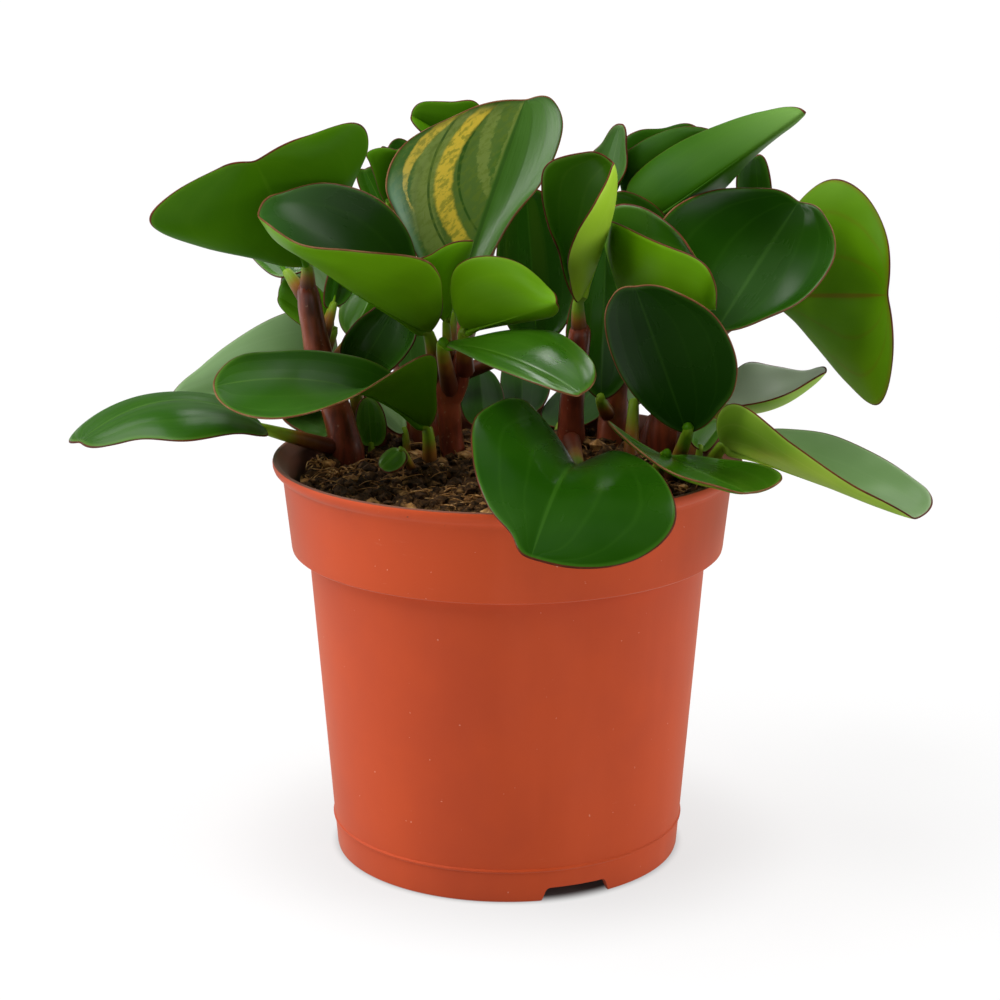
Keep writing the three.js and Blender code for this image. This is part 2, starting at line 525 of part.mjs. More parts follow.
function potSolid() {
  const p = POT;
  const profile = [
    [0, p.floorHeight],
    [p.footRadius - 2 * p.wall, p.floorHeight],
    [p.footRadius - p.wall, 0],
    [p.footRadius - 0.4, 0],
    [p.footRadius, 0.6],
    [p.ridgeRadius - 0.5, p.ridgeHeight - 0.5],
    [p.ridgeRadius, p.ridgeHeight],
    [p.ridgeRadius - 0.4, p.ridgeHeight + 0.5],
    [p.bodyTopRadius, p.collarBottom - 0.5],
    [p.collarBottomRadius - 1, p.collarBottom],
    [p.collarBottomRadius, p.collarBottom + 0.8],
    [p.collarTopRadius, p.height - p.lipHeight - 1],
    [p.lipRadius - 0.4, p.height - p.lipHeight],
    [p.lipRadius, p.height - p.lipHeight / 2],
    [p.lipRadius - 0.5, p.height - 0.3],
    [p.lipRadius - 1.2, p.height],
    [innerRadius(p.height), p.height - 1],
    [innerRadius(p.collarBottom + 1), p.collarBottom + 1],
    [innerRadius(p.collarBottom - 1), p.collarBottom - 1],
    [innerRadius(p.floorHeight + p.floorThickness), p.floorHeight + p.floorThickness],
    [0, p.floorHeight + p.floorThickness],
  ];
  const shell = new THREE.LatheGeometry(profile.map(([r, z]) => new THREE.Vector2(r, z)), p.segments);
  shell.rotateX(Math.PI / 2);
  let solid = toSolid(shell);
  for (let i = 0; i < NOTCH.count; i++) {
    const angle = THREE.MathUtils.degToRad(NOTCH.firstAngle + (360 / NOTCH.count) * i);
    solid = solid.subtract(notchSolid(angle));
  }
  for (let i = 0; i < DRAIN.count; i++) {
    const angle = (2 * Math.PI * i) / DRAIN.count;
    const hole = new THREE.CylinderGeometry(DRAIN.radius, DRAIN.radius, 3 * p.floorHeight, DRAIN.sides);
    hole.rotateX(Math.PI / 2);
    hole.translate(DRAIN.circle * Math.cos(angle), DRAIN.circle * Math.sin(angle), p.floorHeight);
    solid = solid.subtract(toSolid(hole));
  }
  return solid;
}

function notchSolid(angle) {
  const { width, depth, slant } = NOTCH;
  const outline = new THREE.Shape();
  outline.moveTo(-width / 2, -1);
  outline.lineTo(width / 2, -1);
  outline.lineTo(width / 2 - slant, depth);
  outline.lineTo(-width / 2 + slant, depth);
  const block = new THREE.ExtrudeGeometry(outline, { depth: 10, bevelEnabled: false });
  block.rotateX(Math.PI / 2);
  block.translate(0, -POT.footRadius + 5, 0);
  block.rotateZ(angle + Math.PI / 2);
  return toSolid(block);
}

// The plant in its pot

const plant = new THREE.Group();

function place(name, solid, finish) {
  const mesh = new THREE.Mesh(toGeometry(solid), finish);
  mesh.name = name;
  plant.add(mesh);
}

place("pot", potSolid(), PLASTIC);

let soil = soilSolid();
for (const stem of STEMS) {
  place(stem.name, stemSolid(stem), BARK);
  soil = soil.subtract(stemSolid(stem, GAP));
}
for (const leaf of LEAVES) {
  const solid = leafSolid(leaf, STEMS);
  place(leaf.name, solid, LEAF_GREEN);
  if (leaf.on === "soil") soil = soil.subtract(petioleSolid(leaf, GAP));
}
place("soil", soil.asOriginal().simplify(SOIL.smallestDetail), PEAT);

export default plant;
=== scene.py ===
# %% [markdown]
# # A potted peperomia
# A small house plant: thick glossy oval leaves on short red-brown stems, in a round nursery pot of
# terracotta-coloured plastic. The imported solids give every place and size. Here each of them gets a finer
# piece that keeps its form, with the veins, rims, soil, light and colours that solids can't show.

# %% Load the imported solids
import math
import random

import bpy
import numpy as np
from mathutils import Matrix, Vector, noise


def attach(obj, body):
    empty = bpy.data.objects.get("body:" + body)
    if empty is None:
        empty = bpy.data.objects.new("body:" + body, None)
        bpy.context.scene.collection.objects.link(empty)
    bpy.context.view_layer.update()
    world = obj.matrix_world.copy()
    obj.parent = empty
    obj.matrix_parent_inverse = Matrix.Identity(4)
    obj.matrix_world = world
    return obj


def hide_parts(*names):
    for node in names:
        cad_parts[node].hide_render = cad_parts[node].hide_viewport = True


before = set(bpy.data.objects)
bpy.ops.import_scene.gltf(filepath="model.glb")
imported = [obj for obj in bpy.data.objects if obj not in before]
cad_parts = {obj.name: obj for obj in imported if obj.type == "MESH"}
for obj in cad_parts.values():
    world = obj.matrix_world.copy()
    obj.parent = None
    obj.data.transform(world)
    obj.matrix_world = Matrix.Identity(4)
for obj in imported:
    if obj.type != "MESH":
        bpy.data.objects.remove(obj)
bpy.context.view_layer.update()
scene = bpy.context.scene
MM = 0.001
print("solids loaded:", len(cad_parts))

# %% [markdown]
# The camera stands in front of the pot and looks down a little, with a long lens, so the pot's lip shows
# as a flat oval. Its place was worked out from the ovals of the lip, the shoulder and the foot.

# %% Camera
CAMERA_PLACE, CAMERA_TILT, CAMERA_TURN = (0, -0.64897, 0.25979), 75.52, 0.0029
SENSOR, LENS = 36, 93.8
bpy.ops.object.camera_add(location=CAMERA_PLACE, rotation=(math.radians(CAMERA_TILT), 0, CAMERA_TURN))
scene.camera = bpy.context.object
scene.camera.data.sensor_width = SENSOR
scene.camera.data.lens = LENS
scene.view_settings.view_transform = "Standard"
print("camera lens:", scene.camera.data.lens)

# %% [markdown]
# The room's light and every finish are small trees of nodes. These helpers add a node, wire or set its
# inputs, and hand back the output that is wanted, so that a tree reads like a recipe. The patterns use
# Object coordinates, or the leaf's own map where they follow the blade.

# %% Helpers for node trees


def node(finish, kind, inputs=None, output=0, **settings):
    """Adds a node to a finish or the world, sets or wires its inputs and gives back one output."""
    tree = finish.node_tree
    made = tree.nodes.new("ShaderNode" + kind)
    for setting, value in settings.items():
        setattr(made, setting, value)
    for socket, value in (inputs or {}).items():
        if isinstance(value, bpy.types.NodeSocket):
            tree.links.new(value, made.inputs[socket])
        else:
            made.inputs[socket].default_value = value
    return made.outputs[output]


def maths(finish, operation, first, second=0.0, third=0.0):
    """A sum, a product or another operation on up to three values."""
    return node(finish, "Math", {0: first, 1: second, 2: third}, operation=operation)


def times(finish, first, second):
    """The product of two values."""
    return maths(finish, "MULTIPLY", first, second)


def fade(finish, value, start, end, low=0.0, high=1.0):
    """A smooth change from low to high as the value goes from start to end."""
    settings = {"Value": value, "From Min": start, "From Max": end, "To Min": low, "To Max": high}
    return node(finish, "MapRange", settings, interpolation_type="SMOOTHSTEP")


def mixed(finish, amount, under, over):
    """One colour laid over another by an amount."""
    colours = {0: amount}
    for socket, colour in ((6, under), (7, over)):
        colours[socket] = colour if isinstance(colour, bpy.types.NodeSocket) else (*colour, 1)
    return node(finish, "Mix", colours, output=2, data_type="RGBA")


def cloudy(finish, vector, scale, detail=3.0, roughness=0.5):
    """Soft patches of noise, from about 0.2 to 0.8."""
    settings = {"Vector": vector, "Scale": scale, "Detail": detail, "Roughness": roughness}
    return node(finish, "TexNoise", settings)


def stretched(finish, vector, scale):
    """A vector with each of its parts scaled, so that a pattern on it is drawn out."""
    return node(finish, "Mapping", {"Vector": vector, "Scale": scale})


def in_space(finish):
    """The place on the piece, in metres."""
    return node(finish, "TexCoord", output=3)


def xyz(finish, vector):
    """The three parts of a vector."""
    return node(finish, "SeparateXYZ", {0: vector}).node.outputs


def written(finish, name):
    """A value that the mesh keeps at each of its corners."""
    return node(finish, "Attribute", output=2, attribute_name=name)


def bumpy(finish, height, distance, strength, under=None):
    """A relief of a height, laid over another relief where there is one under it."""
    settings = {"Height": height, "Distance": distance, "Strength": strength}
    if under is not None:
        settings["Normal"] = under
    return node(finish, "Bump", settings)


def new_finish(name):
    """A new material and its shader."""
    finish = bpy.data.materials.new(name)
    finish.use_nodes = True
    return finish, finish.node_tree.nodes["Principled BSDF"]


def set_finish(finish, shader, **sockets):
    """Wires or sets sockets of the finish's shader. An underscore stands for a space."""
    for name, value in sockets.items():
        socket = shader.inputs[name.replace("_", " ")]
        if isinstance(value, bpy.types.NodeSocket):
            finish.node_tree.links.new(value, socket)
        else:
            socket.default_value = value


# %% [markdown]
# The plant stands on a white floor among white walls, with the dark room behind the camera. So the world is
# bright behind and at the sides and nearly dark in front. That leaves the front of the pot the deepest, and
# leaves that face the camera turn dark while their undersides catch the floor. The camera itself sees plain
# white, and shines show the soft boxes more than the walls.

# %% The room
WORLD_SEEN = 0.985
ROOM_DARK, ROOM_BRIGHT = 0.05, 1.0
LEFT_GAIN, RIGHT_GAIN = 1.3, 1.2
CEILING = 0.35
FRONT_TO_BACK, LEFT_TO_RIGHT, WALL_TO_TOP = (-0.8, 0.2), (-0.9, 0.6), (0.25, 0.7)
SHINE_SHARE, SIDE_SHINE = 0.15, 1.0

world = bpy.data.worlds.new("white_studio")
world.use_nodes = True
scene.world = world
background = world.node_tree.nodes["Background"]
background.inputs["Color"].default_value = (1, 1, 1, 1)
direction = xyz(world, node(world, "TexCoord"))
to_back = fade(world, direction[1], *FRONT_TO_BACK, ROOM_DARK, ROOM_BRIGHT)
to_side = fade(world, direction[0], *LEFT_TO_RIGHT, LEFT_GAIN, RIGHT_GAIN)
to_top = fade(world, direction[2], *WALL_TO_TOP, 1.0, CEILING)
seen_by = node(world, "LightPath").node.outputs
shiny = maths(world, "MULTIPLY_ADD", seen_by["Is Glossy Ray"], SHINE_SHARE - 1, 1.0)
room = times(world, times(world, times(world, to_back, to_side), to_top), shiny)
shown = node(world, "Mix", {0: seen_by["Is Camera Ray"], 2: room, 3: WORLD_SEEN})
world.node_tree.links.new(shown, background.inputs["Strength"])
print("room's walls, darkest and brightest:", ROOM_DARK, ROOM_BRIGHT * LEFT_GAIN)

# %% [markdown]
# Soft boxes stand above, at the sides and behind, and point at the middle of the plant. Two of them only
# brighten it and don't show in its shines.

# %% Soft boxes
MIDDLE_OF_PLANT = Vector((0, 0, 0.11))
SOFT_BOXES = (
    ("left_box", (-1.1, 0.25, 1.1), 0.8, 7.5, True),
    ("left_fill_box", (-1.15, -0.1, 0.35), 0.6, 2.6, True),
    ("top_box", (-0.3, -0.15, 1.3), 0.8, 10, False),
    ("front_left_box", (-0.75, -0.6, 1.0), 0.5, 5, True),
    ("right_box", (1.2, -0.08, 0.5), 0.35, 1.8, True),
    ("right_fill_box", (1.15, -0.25, 0.5), 0.6, 3.8, False),
    ("back_top_box", (0.0, 0.93, 1.05), 0.26, 1.3, True),
    ("back_right_box", (0.5, 1.0, 1.15), 0.45, 2.5, True),
)
for name, place, size, power, shines in SOFT_BOXES:
    bpy.ops.object.light_add(type="AREA", location=place)
    box = bpy.context.object
    box.name = name
    box.data.size = size
    box.data.energy = power
    box.visible_glossy = shines
    box.rotation_euler = (MIDDLE_OF_PLANT - Vector(place)).to_track_quat("-Z", "Y").to_euler()
print("soft boxes:", len(SOFT_BOXES))

# %% [markdown]
# The floor is a wide white disc that glows, so that it runs into the background with no edge. The glow is
# a little less around the pot, as a painted contact shadow, and nearly none under it, as a painted shadow
# that keeps the notch in the foot dark. Shines on the plant show less of the floor in front than of the
# floor at its sides.

# %% The floor
FLOOR_RADIUS, FLOOR_GREY = 6, (0.14, 0.14, 0.14, 1)
# The glow is less by the pot and under it: a painted contact shadow and a painted shadow.
GLOW_NEAR, GLOW_FAR, GLOW_IN_PAINTED_SHADOW_BY_POT, GLOW_IN_PAINTED_SHADOW_UNDER_POT = 0.82, 0.99, 0.88, 0.01
NEAR_TO_FAR, MIDDLE_TO_SIDE = (0.3, 2.5), (0.06, 0.28)
BY_POT, UNDER_POT = (0.045, 0.085), (0.041, 0.047)

bpy.ops.object.select_all(action="DESELECT")
bpy.ops.mesh.primitive_circle_add(vertices=128, radius=FLOOR_RADIUS, fill_type="NGON")
floor = bpy.context.object
floor.name = "floor"
white, shader = new_finish("floor_white")
spot = in_space(white)
far = node(white, "VectorMath", {0: spot}, output=1, operation="LENGTH")
seen_by = node(white, "LightPath").node.outputs
aside = maths(white, "ABSOLUTE", xyz(white, spot)[0])
dimming = fade(white, aside, *MIDDLE_TO_SIDE, SHINE_SHARE - 1, SIDE_SHINE - 1)
glow = fade(white, far, *NEAR_TO_FAR, GLOW_NEAR, GLOW_FAR)
# The pot dims the glow: a painted contact shadow round it and a painted shadow under it.
for share in (
    fade(white, far, *BY_POT, GLOW_IN_PAINTED_SHADOW_BY_POT, 1),
    fade(white, far, *UNDER_POT, GLOW_IN_PAINTED_SHADOW_UNDER_POT, 1),
    maths(white, "MULTIPLY_ADD", seen_by["Is Glossy Ray"], dimming, 1.0),
):
    glow = times(white, glow, share)
set_finish(white, shader, Base_Color=FLOOR_GREY, Roughness=0.9, Specular_IOR_Level=0.0)
set_finish(white, shader, Emission_Color=(1, 1, 1, 1), Emission_Strength=glow)
floor.data.materials.append(white)
print("floor across, in metres:", 2 * FLOOR_RADIUS)

# %% [markdown]
# An operator works on whatever is selected, and loading leaves the solids selected, so each step starts
# from a clear selection. Finished pieces sit at the origin with their place in the mesh.

# %% Helpers for modelling


def pick(*pieces):
    """Selects only these pieces and makes the first one active."""
    if bpy.context.mode != "OBJECT":
        bpy.ops.object.mode_set(mode="OBJECT")
    bpy.ops.object.select_all(action="DESELECT")
    for piece in pieces:
        piece.select_set(True)
    bpy.context.view_layer.objects.active = pieces[0]


def shape_with(piece, kind, **settings):
    """Adds a modifier, sets it and applies it."""
    pick(piece)
    modifier = piece.modifiers.new(kind.title(), kind)
    for setting, value in settings.items():
        setattr(modifier, setting, value)
    bpy.ops.object.modifier_apply(modifier=modifier.name)


def settle(piece):
    """Puts the piece's place, turn and scale into its mesh."""
    pick(piece)
    bpy.ops.object.transform_apply(location=True, rotation=True, scale=True)


def stand_for(piece, node_name):
    """Attaches a finished piece to the root and hides the solid that it stands for."""
    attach(piece, "root")
    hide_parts(node_name)


def triangles(piece):
    """How many triangles the piece's faces make."""
    return sum(len(face.vertices) - 2 for face in piece.data.polygons)


# %% [markdown]
# ## The pot
# A moulded nursery pot has a thin wall, a lip that stands out over a tall collar, and a foot with three
# notches. It is one profile turned round an axis. A ring of edges is extruded up the outside, over the
# lip and down the inside, as a potter pulls a wall, and each ring is resized to its radius. The profile
# gives the radius and height of each ring in mm.

# %% The pot's wall
POT_SIDES = 144
POT_PROFILE = [
    (41.6, 4.0), (43.0, 0.3), (43.3, 0.0), (44.3, 0.0), (44.7, 0.25), (44.85, 0.8),
    (45.45, 8.1), (45.85, 8.35), (45.9, 8.7), (45.6, 9.1), (45.65, 10.0), (47.6, 35.0), (49.4, 58.0),
    (51.05, 79.2), (51.15, 79.9), (51.5, 80.35), (52.2, 80.5), (54.3, 80.5), (54.95, 80.65),
    (55.35, 81.0), (55.5, 81.7), (56.5, 91.0), (57.4, 99.4), (57.6, 100.3), (58.1, 100.9), (59.0, 101.4),
    (59.65, 102.1), (59.95, 102.9), (60.0, 103.6), (59.85, 104.1), (59.5, 104.3), (58.9, 104.25),
    (58.35, 103.8), (57.7, 103.0), (56.7, 102.1), (56.1, 101.3), (55.8, 100.0), (53.8, 82.5), (53.4, 81.0),
    (49.9, 79.4), (49.5, 78.5), (43.6, 6.4), (43.0, 5.8),
]


def pull_ring(radius, height, to_radius, to_height):
    """Extrudes the ring of edges that is selected and resizes it to its new radius."""
    step = {"value": (0, 0, (to_height - height) * MM)}
    bpy.ops.mesh.extrude_region_move(TRANSFORM_OT_translate=step)
    scale = to_radius / radius
    bpy.ops.transform.resize(value=(scale, scale, 1), center_override=(0, 0, to_height * MM))


bpy.ops.object.select_all(action="DESELECT")
radius, height = POT_PROFILE[0]
bpy.ops.mesh.primitive_circle_add(
    vertices=POT_SIDES, radius=radius * MM, location=(0, 0, height * MM), fill_type="NGON"
)
pot = bpy.context.object
pot.name = "nursery_pot"
settle(pot)
bpy.ops.object.mode_set(mode="EDIT")
bpy.ops.mesh.select_all(action="DESELECT")
bpy.ops.mesh.select_mode(type="EDGE")
bpy.ops.object.mode_set(mode="OBJECT")
for edge in pot.data.edges:
    edge.select = True
bpy.ops.object.mode_set(mode="EDIT")
for to_radius, to_height in POT_PROFILE[1:]:
    pull_ring(radius, height, to_radius, to_height)
    radius, height = to_radius, to_height
bpy.ops.mesh.edge_face_add()
bpy.ops.mesh.select_all(action="SELECT")
bpy.ops.mesh.normals_make_consistent(inside=False)
bpy.ops.object.mode_set(mode="OBJECT")
print("pot wall triangles:", triangles(pot))

# %% [markdown]
# The foot's notches let water run out, and six holes drain the floor. They are cut with blocks and
# cylinders, because a straight cut leaves the crisp edges that a mould leaves.

# %% The pot's notches and drain holes
NOTCH_ANGLES = (-67, 53, 173)
NOTCH_WIDTH, NOTCH_DEPTH, NOTCH_SLANT, NOTCH_BEVEL = 21, 3.6, 2.5, 1.0
FOOT_RADIUS, BLOCK_THICKNESS = 44.8, 10
DRAIN_HOLES, DRAIN_CIRCLE, DRAIN_RADIUS = 6, 27, 3.2
DRILL_HEIGHT, DRILL_LENGTH = 5, 8
POT_SMOOTH = 32


def cut(piece, tool):
    """Cuts a tool's shape out of the piece and clears the tool away."""
    shape_with(piece, "BOOLEAN", object=tool, operation="DIFFERENCE", solver="EXACT")
    bpy.data.objects.remove(tool)


for angle in NOTCH_ANGLES:
    turn = math.radians(angle)
    reach = (FOOT_RADIUS * MM * math.cos(turn), FOOT_RADIUS * MM * math.sin(turn))
    bpy.ops.object.select_all(action="DESELECT")
    bpy.ops.mesh.primitive_cube_add(size=1, location=(*reach, 0))
    block = bpy.context.object
    block.scale = (BLOCK_THICKNESS * MM, NOTCH_WIDTH * MM, 2 * NOTCH_DEPTH * MM)
    block.rotation_euler.z = turn
    settle(block)
    side = Vector((-math.sin(turn), math.cos(turn), 0))
    for corner in block.data.vertices:
        if corner.co.z > 0:
            corner.co -= side * math.copysign(NOTCH_SLANT * MM, corner.co.dot(side))
    shape_with(block, "BEVEL", width=NOTCH_BEVEL * MM, segments=4, limit_method="ANGLE")
    cut(pot, block)
for number in range(DRAIN_HOLES):
    turn = math.tau * number / DRAIN_HOLES
    place = (DRAIN_CIRCLE * MM * math.cos(turn), DRAIN_CIRCLE * MM * math.sin(turn), DRILL_HEIGHT * MM)
    bpy.ops.object.select_all(action="DESELECT")
    bpy.ops.mesh.primitive_cylinder_add(
        vertices=32, radius=DRAIN_RADIUS * MM, depth=DRILL_LENGTH * MM, location=place
    )
    cut(pot, bpy.context.object)
pick(pot)
bpy.ops.object.shade_smooth_by_angle(angle=math.radians(POT_SMOOTH))
stand_for(pot, "pot")
print("pot triangles:", triangles(pot))

# %% [markdown]
# The plastic is satin, an even orange-brown with a hint of flow lines up the wall, a fine grain, a few
# pale scuffs and specks, and crumbs of dirt on the lip. A thin film of dust shows as a warm sheen where the
# wall turns away. The same finish, darker and with more dust on it, covers the inside above the soil; that
# darker brown is partly dust and partly painted shade under the leaves.

# %% Finish of the pot
FLOW_LINE, SCUFF, SPECK = (0.64, 0.085, 0.02), (0.75, 0.36, 0.24), (0.75, 0.42, 0.3)
DIRT, DUST_AND_PAINTED_SHADE = (0.06, 0.03, 0.012), (0.12, 0.058, 0.036)
DUST_SHEEN = (1, 0.9, 0.75, 1)
TERRACOTTA = (0.485, 0.051, 0.005), (0.55, 0.063, 0.007)
# The inside colours are darker than the outside's: partly dust, partly painted shade under the leaves.
TERRACOTTA_INSIDE_SHADED = (0.36, 0.045, 0.012), (0.42, 0.055, 0.015)
DIRTY_FROM, DIRTY_TO = 99.5, 102
INSIDE_FROM = 90


def plastic_finish(name, low, high, dust_and_shade):
    """Terracotta-coloured plastic, from low to high in its patches, with dust and painted shade from 0 to 1.
    """
    finish, shader = new_finish(name)
    spot = in_space(finish)
    flow = cloudy(finish, stretched(finish, spot, (60, 60, 9)), 1.0, 4)
    patches = cloudy(finish, spot, 22, 4, 0.6)
    colour = mixed(finish, fade(finish, patches, 0.3, 0.7), low, high)
    colour = mixed(finish, fade(finish, flow, 0.45, 0.8, 0, 0.35), colour, FLOW_LINE)
    scratches = cloudy(finish, stretched(finish, spot, (90, 90, 400)), 1.0, 6, 0.75)
    scuffs = times(finish, fade(finish, scratches, 0.62, 0.74), fade(finish, patches, 0.5, 0.75))
    colour = mixed(finish, times(finish, scuffs, 0.35), colour, SCUFF)
    specks = fade(finish, cloudy(finish, spot, 900, 1), 0.79, 0.82)
    colour = mixed(finish, times(finish, specks, 0.5), colour, SPECK)
    dirt = fade(finish, cloudy(finish, spot, 520, 2), 0.71, 0.74)
    on_lip = fade(finish, xyz(finish, spot)[2], DIRTY_FROM * MM, DIRTY_TO * MM)
    colour = mixed(finish, times(finish, dirt, on_lip), colour, DIRT)
    # Dust, a darker brown; inside the pot it also stands for painted shade.
    colour = mixed(finish, fade(finish, patches, 0.2, 0.6, dust_and_shade, 0.8 * dust_and_shade), colour, DUST_AND_PAINTED_SHADE)
    relief = bumpy(finish, cloudy(finish, spot, 1400, 2), 0.02 * MM, 0.5)
    relief = bumpy(finish, flow, 0.15 * MM, 0.35, relief)
    gloss = fade(finish, patches, 0.25, 0.8, 0.66, 0.76)
    set_finish(finish, shader, Base_Color=colour, Roughness=gloss, Normal=relief, IOR=1.42)
    set_finish(finish, shader, Sheen_Weight=0.2, Sheen_Roughness=0.35, Sheen_Tint=DUST_SHEEN)
    return finish


terracotta = plastic_finish("terracotta_plastic", *TERRACOTTA, 0)
dusty_and_shaded = plastic_finish("terracotta_dusty", *TERRACOTTA_INSIDE_SHADED, 0.95)
pot.data.materials.clear()
pot.data.materials.append(terracotta)
pot.data.materials.append(dusty_and_shaded)
for face in pot.data.polygons:
    outward = Vector((face.center.x, face.center.y, 0)).normalized()
    inside = face.normal.dot(outward) < -0.15 or face.normal.z > 0.8
    face.material_index = int(inside and face.center.z > INSIDE_FROM * MM)
print("finishes:", terracotta.name, dusty_and_shaded.name)

# %% [markdown]
# ## The soil
# Peat with coir fibres fills the pot to just under its lip. The bed is a grid drawn out to a disc, raised
# into the same mound as its solid and roughened, then its rim is pulled down the wall to the pot's floor.

# %% The bed of soil
SOIL_TOP, SOIL_BUMP, SOIL_MOUND, MOUND_Y, MOUND_SPREAD = 97.5, 1.0, 2.5, 25, 30
SOIL_RADIUS, SOIL_FLOOR, BED_CELLS = 53.4, 6.3, 150
ROUGHNESS_OF_BED, SOIL_SMOOTH = 1.3, 50
EDGE_FROM, EDGE_WIDTH, SUNK_EDGE, CALM_EDGE = 0.93, 0.07, 0.8, 0.6
DOWN_THE_WALL = ((14.5, 0.985), (2.5, 0.93), (73.5, 0.885))


def soil_height(x, y):
    """The height of the soil in mm, as in its solid."""
    bumps = math.sin(0.31 * x + 0.7) * math.cos(0.27 * y - 0.4) + 0.5 * math.sin(0.53 * x - 0.35 * y)
    to_mound = math.hypot(x, y - MOUND_Y) / MOUND_SPREAD
    return SOIL_TOP + SOIL_BUMP * bumps + SOIL_MOUND * math.exp(-to_mound * to_mound)


def to_disc(x, y):
    """A point of a square from -1 to 1, moved to the disc inside it."""
    return x * math.sqrt(1 - y * y / 2), y * math.sqrt(1 - x * x / 2)


bpy.ops.object.select_all(action="DESELECT")
bpy.ops.mesh.primitive_grid_add(x_subdivisions=BED_CELLS, y_subdivisions=BED_CELLS, size=2)
soil = bpy.context.object
soil.name = "peat_bed"
for corner in soil.data.vertices:
    x, y = (SOIL_RADIUS * c for c in to_disc(corner.co.x, corner.co.y))
    rough = noise.fractal(Vector((x, y, 3)) * 0.35, 0.8, 2.1, 5) * ROUGHNESS_OF_BED
    edge = max(0, math.hypot(x, y) / SOIL_RADIUS - EDGE_FROM) / EDGE_WIDTH
    corner.co = Vector((x, y, soil_height(x, y) + rough * (1 - CALM_EDGE * edge) - SUNK_EDGE * edge)) * MM
pick(soil)
bpy.ops.object.mode_set(mode="EDIT")
bpy.ops.mesh.select_mode(type="EDGE")
bpy.ops.mesh.select_all(action="DESELECT")
bpy.ops.mesh.select_non_manifold()
for drop, narrow in DOWN_THE_WALL:
    bpy.ops.mesh.extrude_region_move(TRANSFORM_OT_translate={"value": (0, 0, -drop * MM)})
    bpy.ops.transform.resize(value=(narrow, narrow, 1), center_override=(0, 0, 0))
bpy.ops.transform.resize(value=(1, 1, 0), center_override=(0, 0, SOIL_FLOOR * MM))
bpy.ops.mesh.edge_face_add()
bpy.ops.mesh.select_all(action="SELECT")
bpy.ops.mesh.normals_make_consistent(inside=False)
bpy.ops.object.mode_set(mode="OBJECT")
bpy.ops.object.shade_smooth_by_angle(angle=math.radians(SOIL_SMOOTH))
print("soil bed triangles:", triangles(soil))

# %% [markdown]
# Crumbs of peat lie on the bed, and every twelfth is a golden one. A few lumps are modelled once from small
# icospheres, dented by noise, and each crumb is a turned and scaled copy of one of them.

# %% Lumps and their copies
chance = random.Random(7)


def lump(seed):
    """A small dented ball."""
    bpy.ops.object.select_all(action="DESELECT")
    bpy.ops.mesh.primitive_ico_sphere_add(subdivisions=1, radius=1)
    made = bpy.context.object
    for corner in made.data.vertices:
        corner.co *= 1 + 0.45 * noise.noise(corner.co * 1.3 + Vector((seed * 5, 0, 0)))
    return made


def scattered(moulds, places):
    """Copies of the moulds as one mesh, each at a place (x, y, z, size, turns), in mm."""
    points, faces = [], []
    for number, (x, y, z, size, turns) in enumerate(places):
        mould = moulds[number % len(moulds)]
        c, s = math.cos(turns[0]), math.sin(turns[0])
        first = len(points)
        for corner in mould.data.vertices:
            p = corner.co
            flat = Vector((c * p.x - s * p.y, s * p.x + c * p.y, p.z * turns[1]))
            points.append((Vector((x, y, z)) + flat * size) * MM)
        faces += [[first + v for v in face.vertices] for face in mould.data.polygons]
    mesh = bpy.data.meshes.new("scattered")
    mesh.from_pydata(points, [], faces)
    made = bpy.data.objects.new("scattered", mesh)
    scene.collection.objects.link(made)
    for mould in moulds:
        bpy.data.objects.remove(mould)
    return made


# %% [markdown]
# Most crumbs are tiny and a few are large. They are spread over the bed by chance, a little sunk in it.

# %% Crumbs of peat
CRUMBS, GOLDEN_EVERY = 2500, 12
CRUMB_SIZE, CRUMB_RANGE = 0.45, 2.1
CRUMB_CIRCLE, FIBRE_CIRCLE = 52.5, 51


def somewhere(circle):
    """A random place (x, y) in a circle, in mm."""
    angle, spread = chance.uniform(0, math.tau), circle * math.sqrt(chance.random())
    return spread * math.cos(angle), spread * math.sin(angle)


crumb_places, golden_places = [], []
for number in range(CRUMBS):
    x, y = somewhere(CRUMB_CIRCLE)
    size = CRUMB_SIZE + CRUMB_RANGE * chance.random() ** 3
    turns = (chance.uniform(0, math.tau), chance.uniform(0.5, 1.1))
    pile = crumb_places if number % GOLDEN_EVERY else golden_places
    pile.append((x, y, soil_height(x, y) + 0.25 * size, size, turns))
crumbs = scattered([lump(seed) for seed in range(5)], crumb_places)
golden = scattered([lump(seed) for seed in range(5, 8)], golden_places)
print("crumb triangles:", triangles(crumbs) + triangles(golden))

# %% [markdown]
# Coir fibres stick out of the peat: thin bent threads, tan where they are dry. Each is a curve with a
# round section, turned into a mesh.

# %% Fibres of coir
FIBRE_POINTS, SUNK_START, ABOVE_SOIL = 9, 0.4, 0.2


def thread(points, radii, sides):
    """A curve through points in mm with a radius at each, as a closed mesh."""
    curve = bpy.data.curves.new("thread", "CURVE")
    curve.dimensions = "3D"
    curve.bevel_depth = MM
    curve.bevel_resolution = sides
    curve.use_fill_caps = True
    spline = curve.splines.new("POLY")
    spline.points.add(len(points) - 1)
    for spline_point, point, width in zip(spline.points, points, radii):
        spline_point.co = (*(Vector(point) * MM), 1)
        spline_point.radius = width
    made = bpy.data.objects.new("thread", curve)
    scene.collection.objects.link(made)
    pick(made)
    bpy.ops.object.convert(target="MESH")
    return bpy.context.object


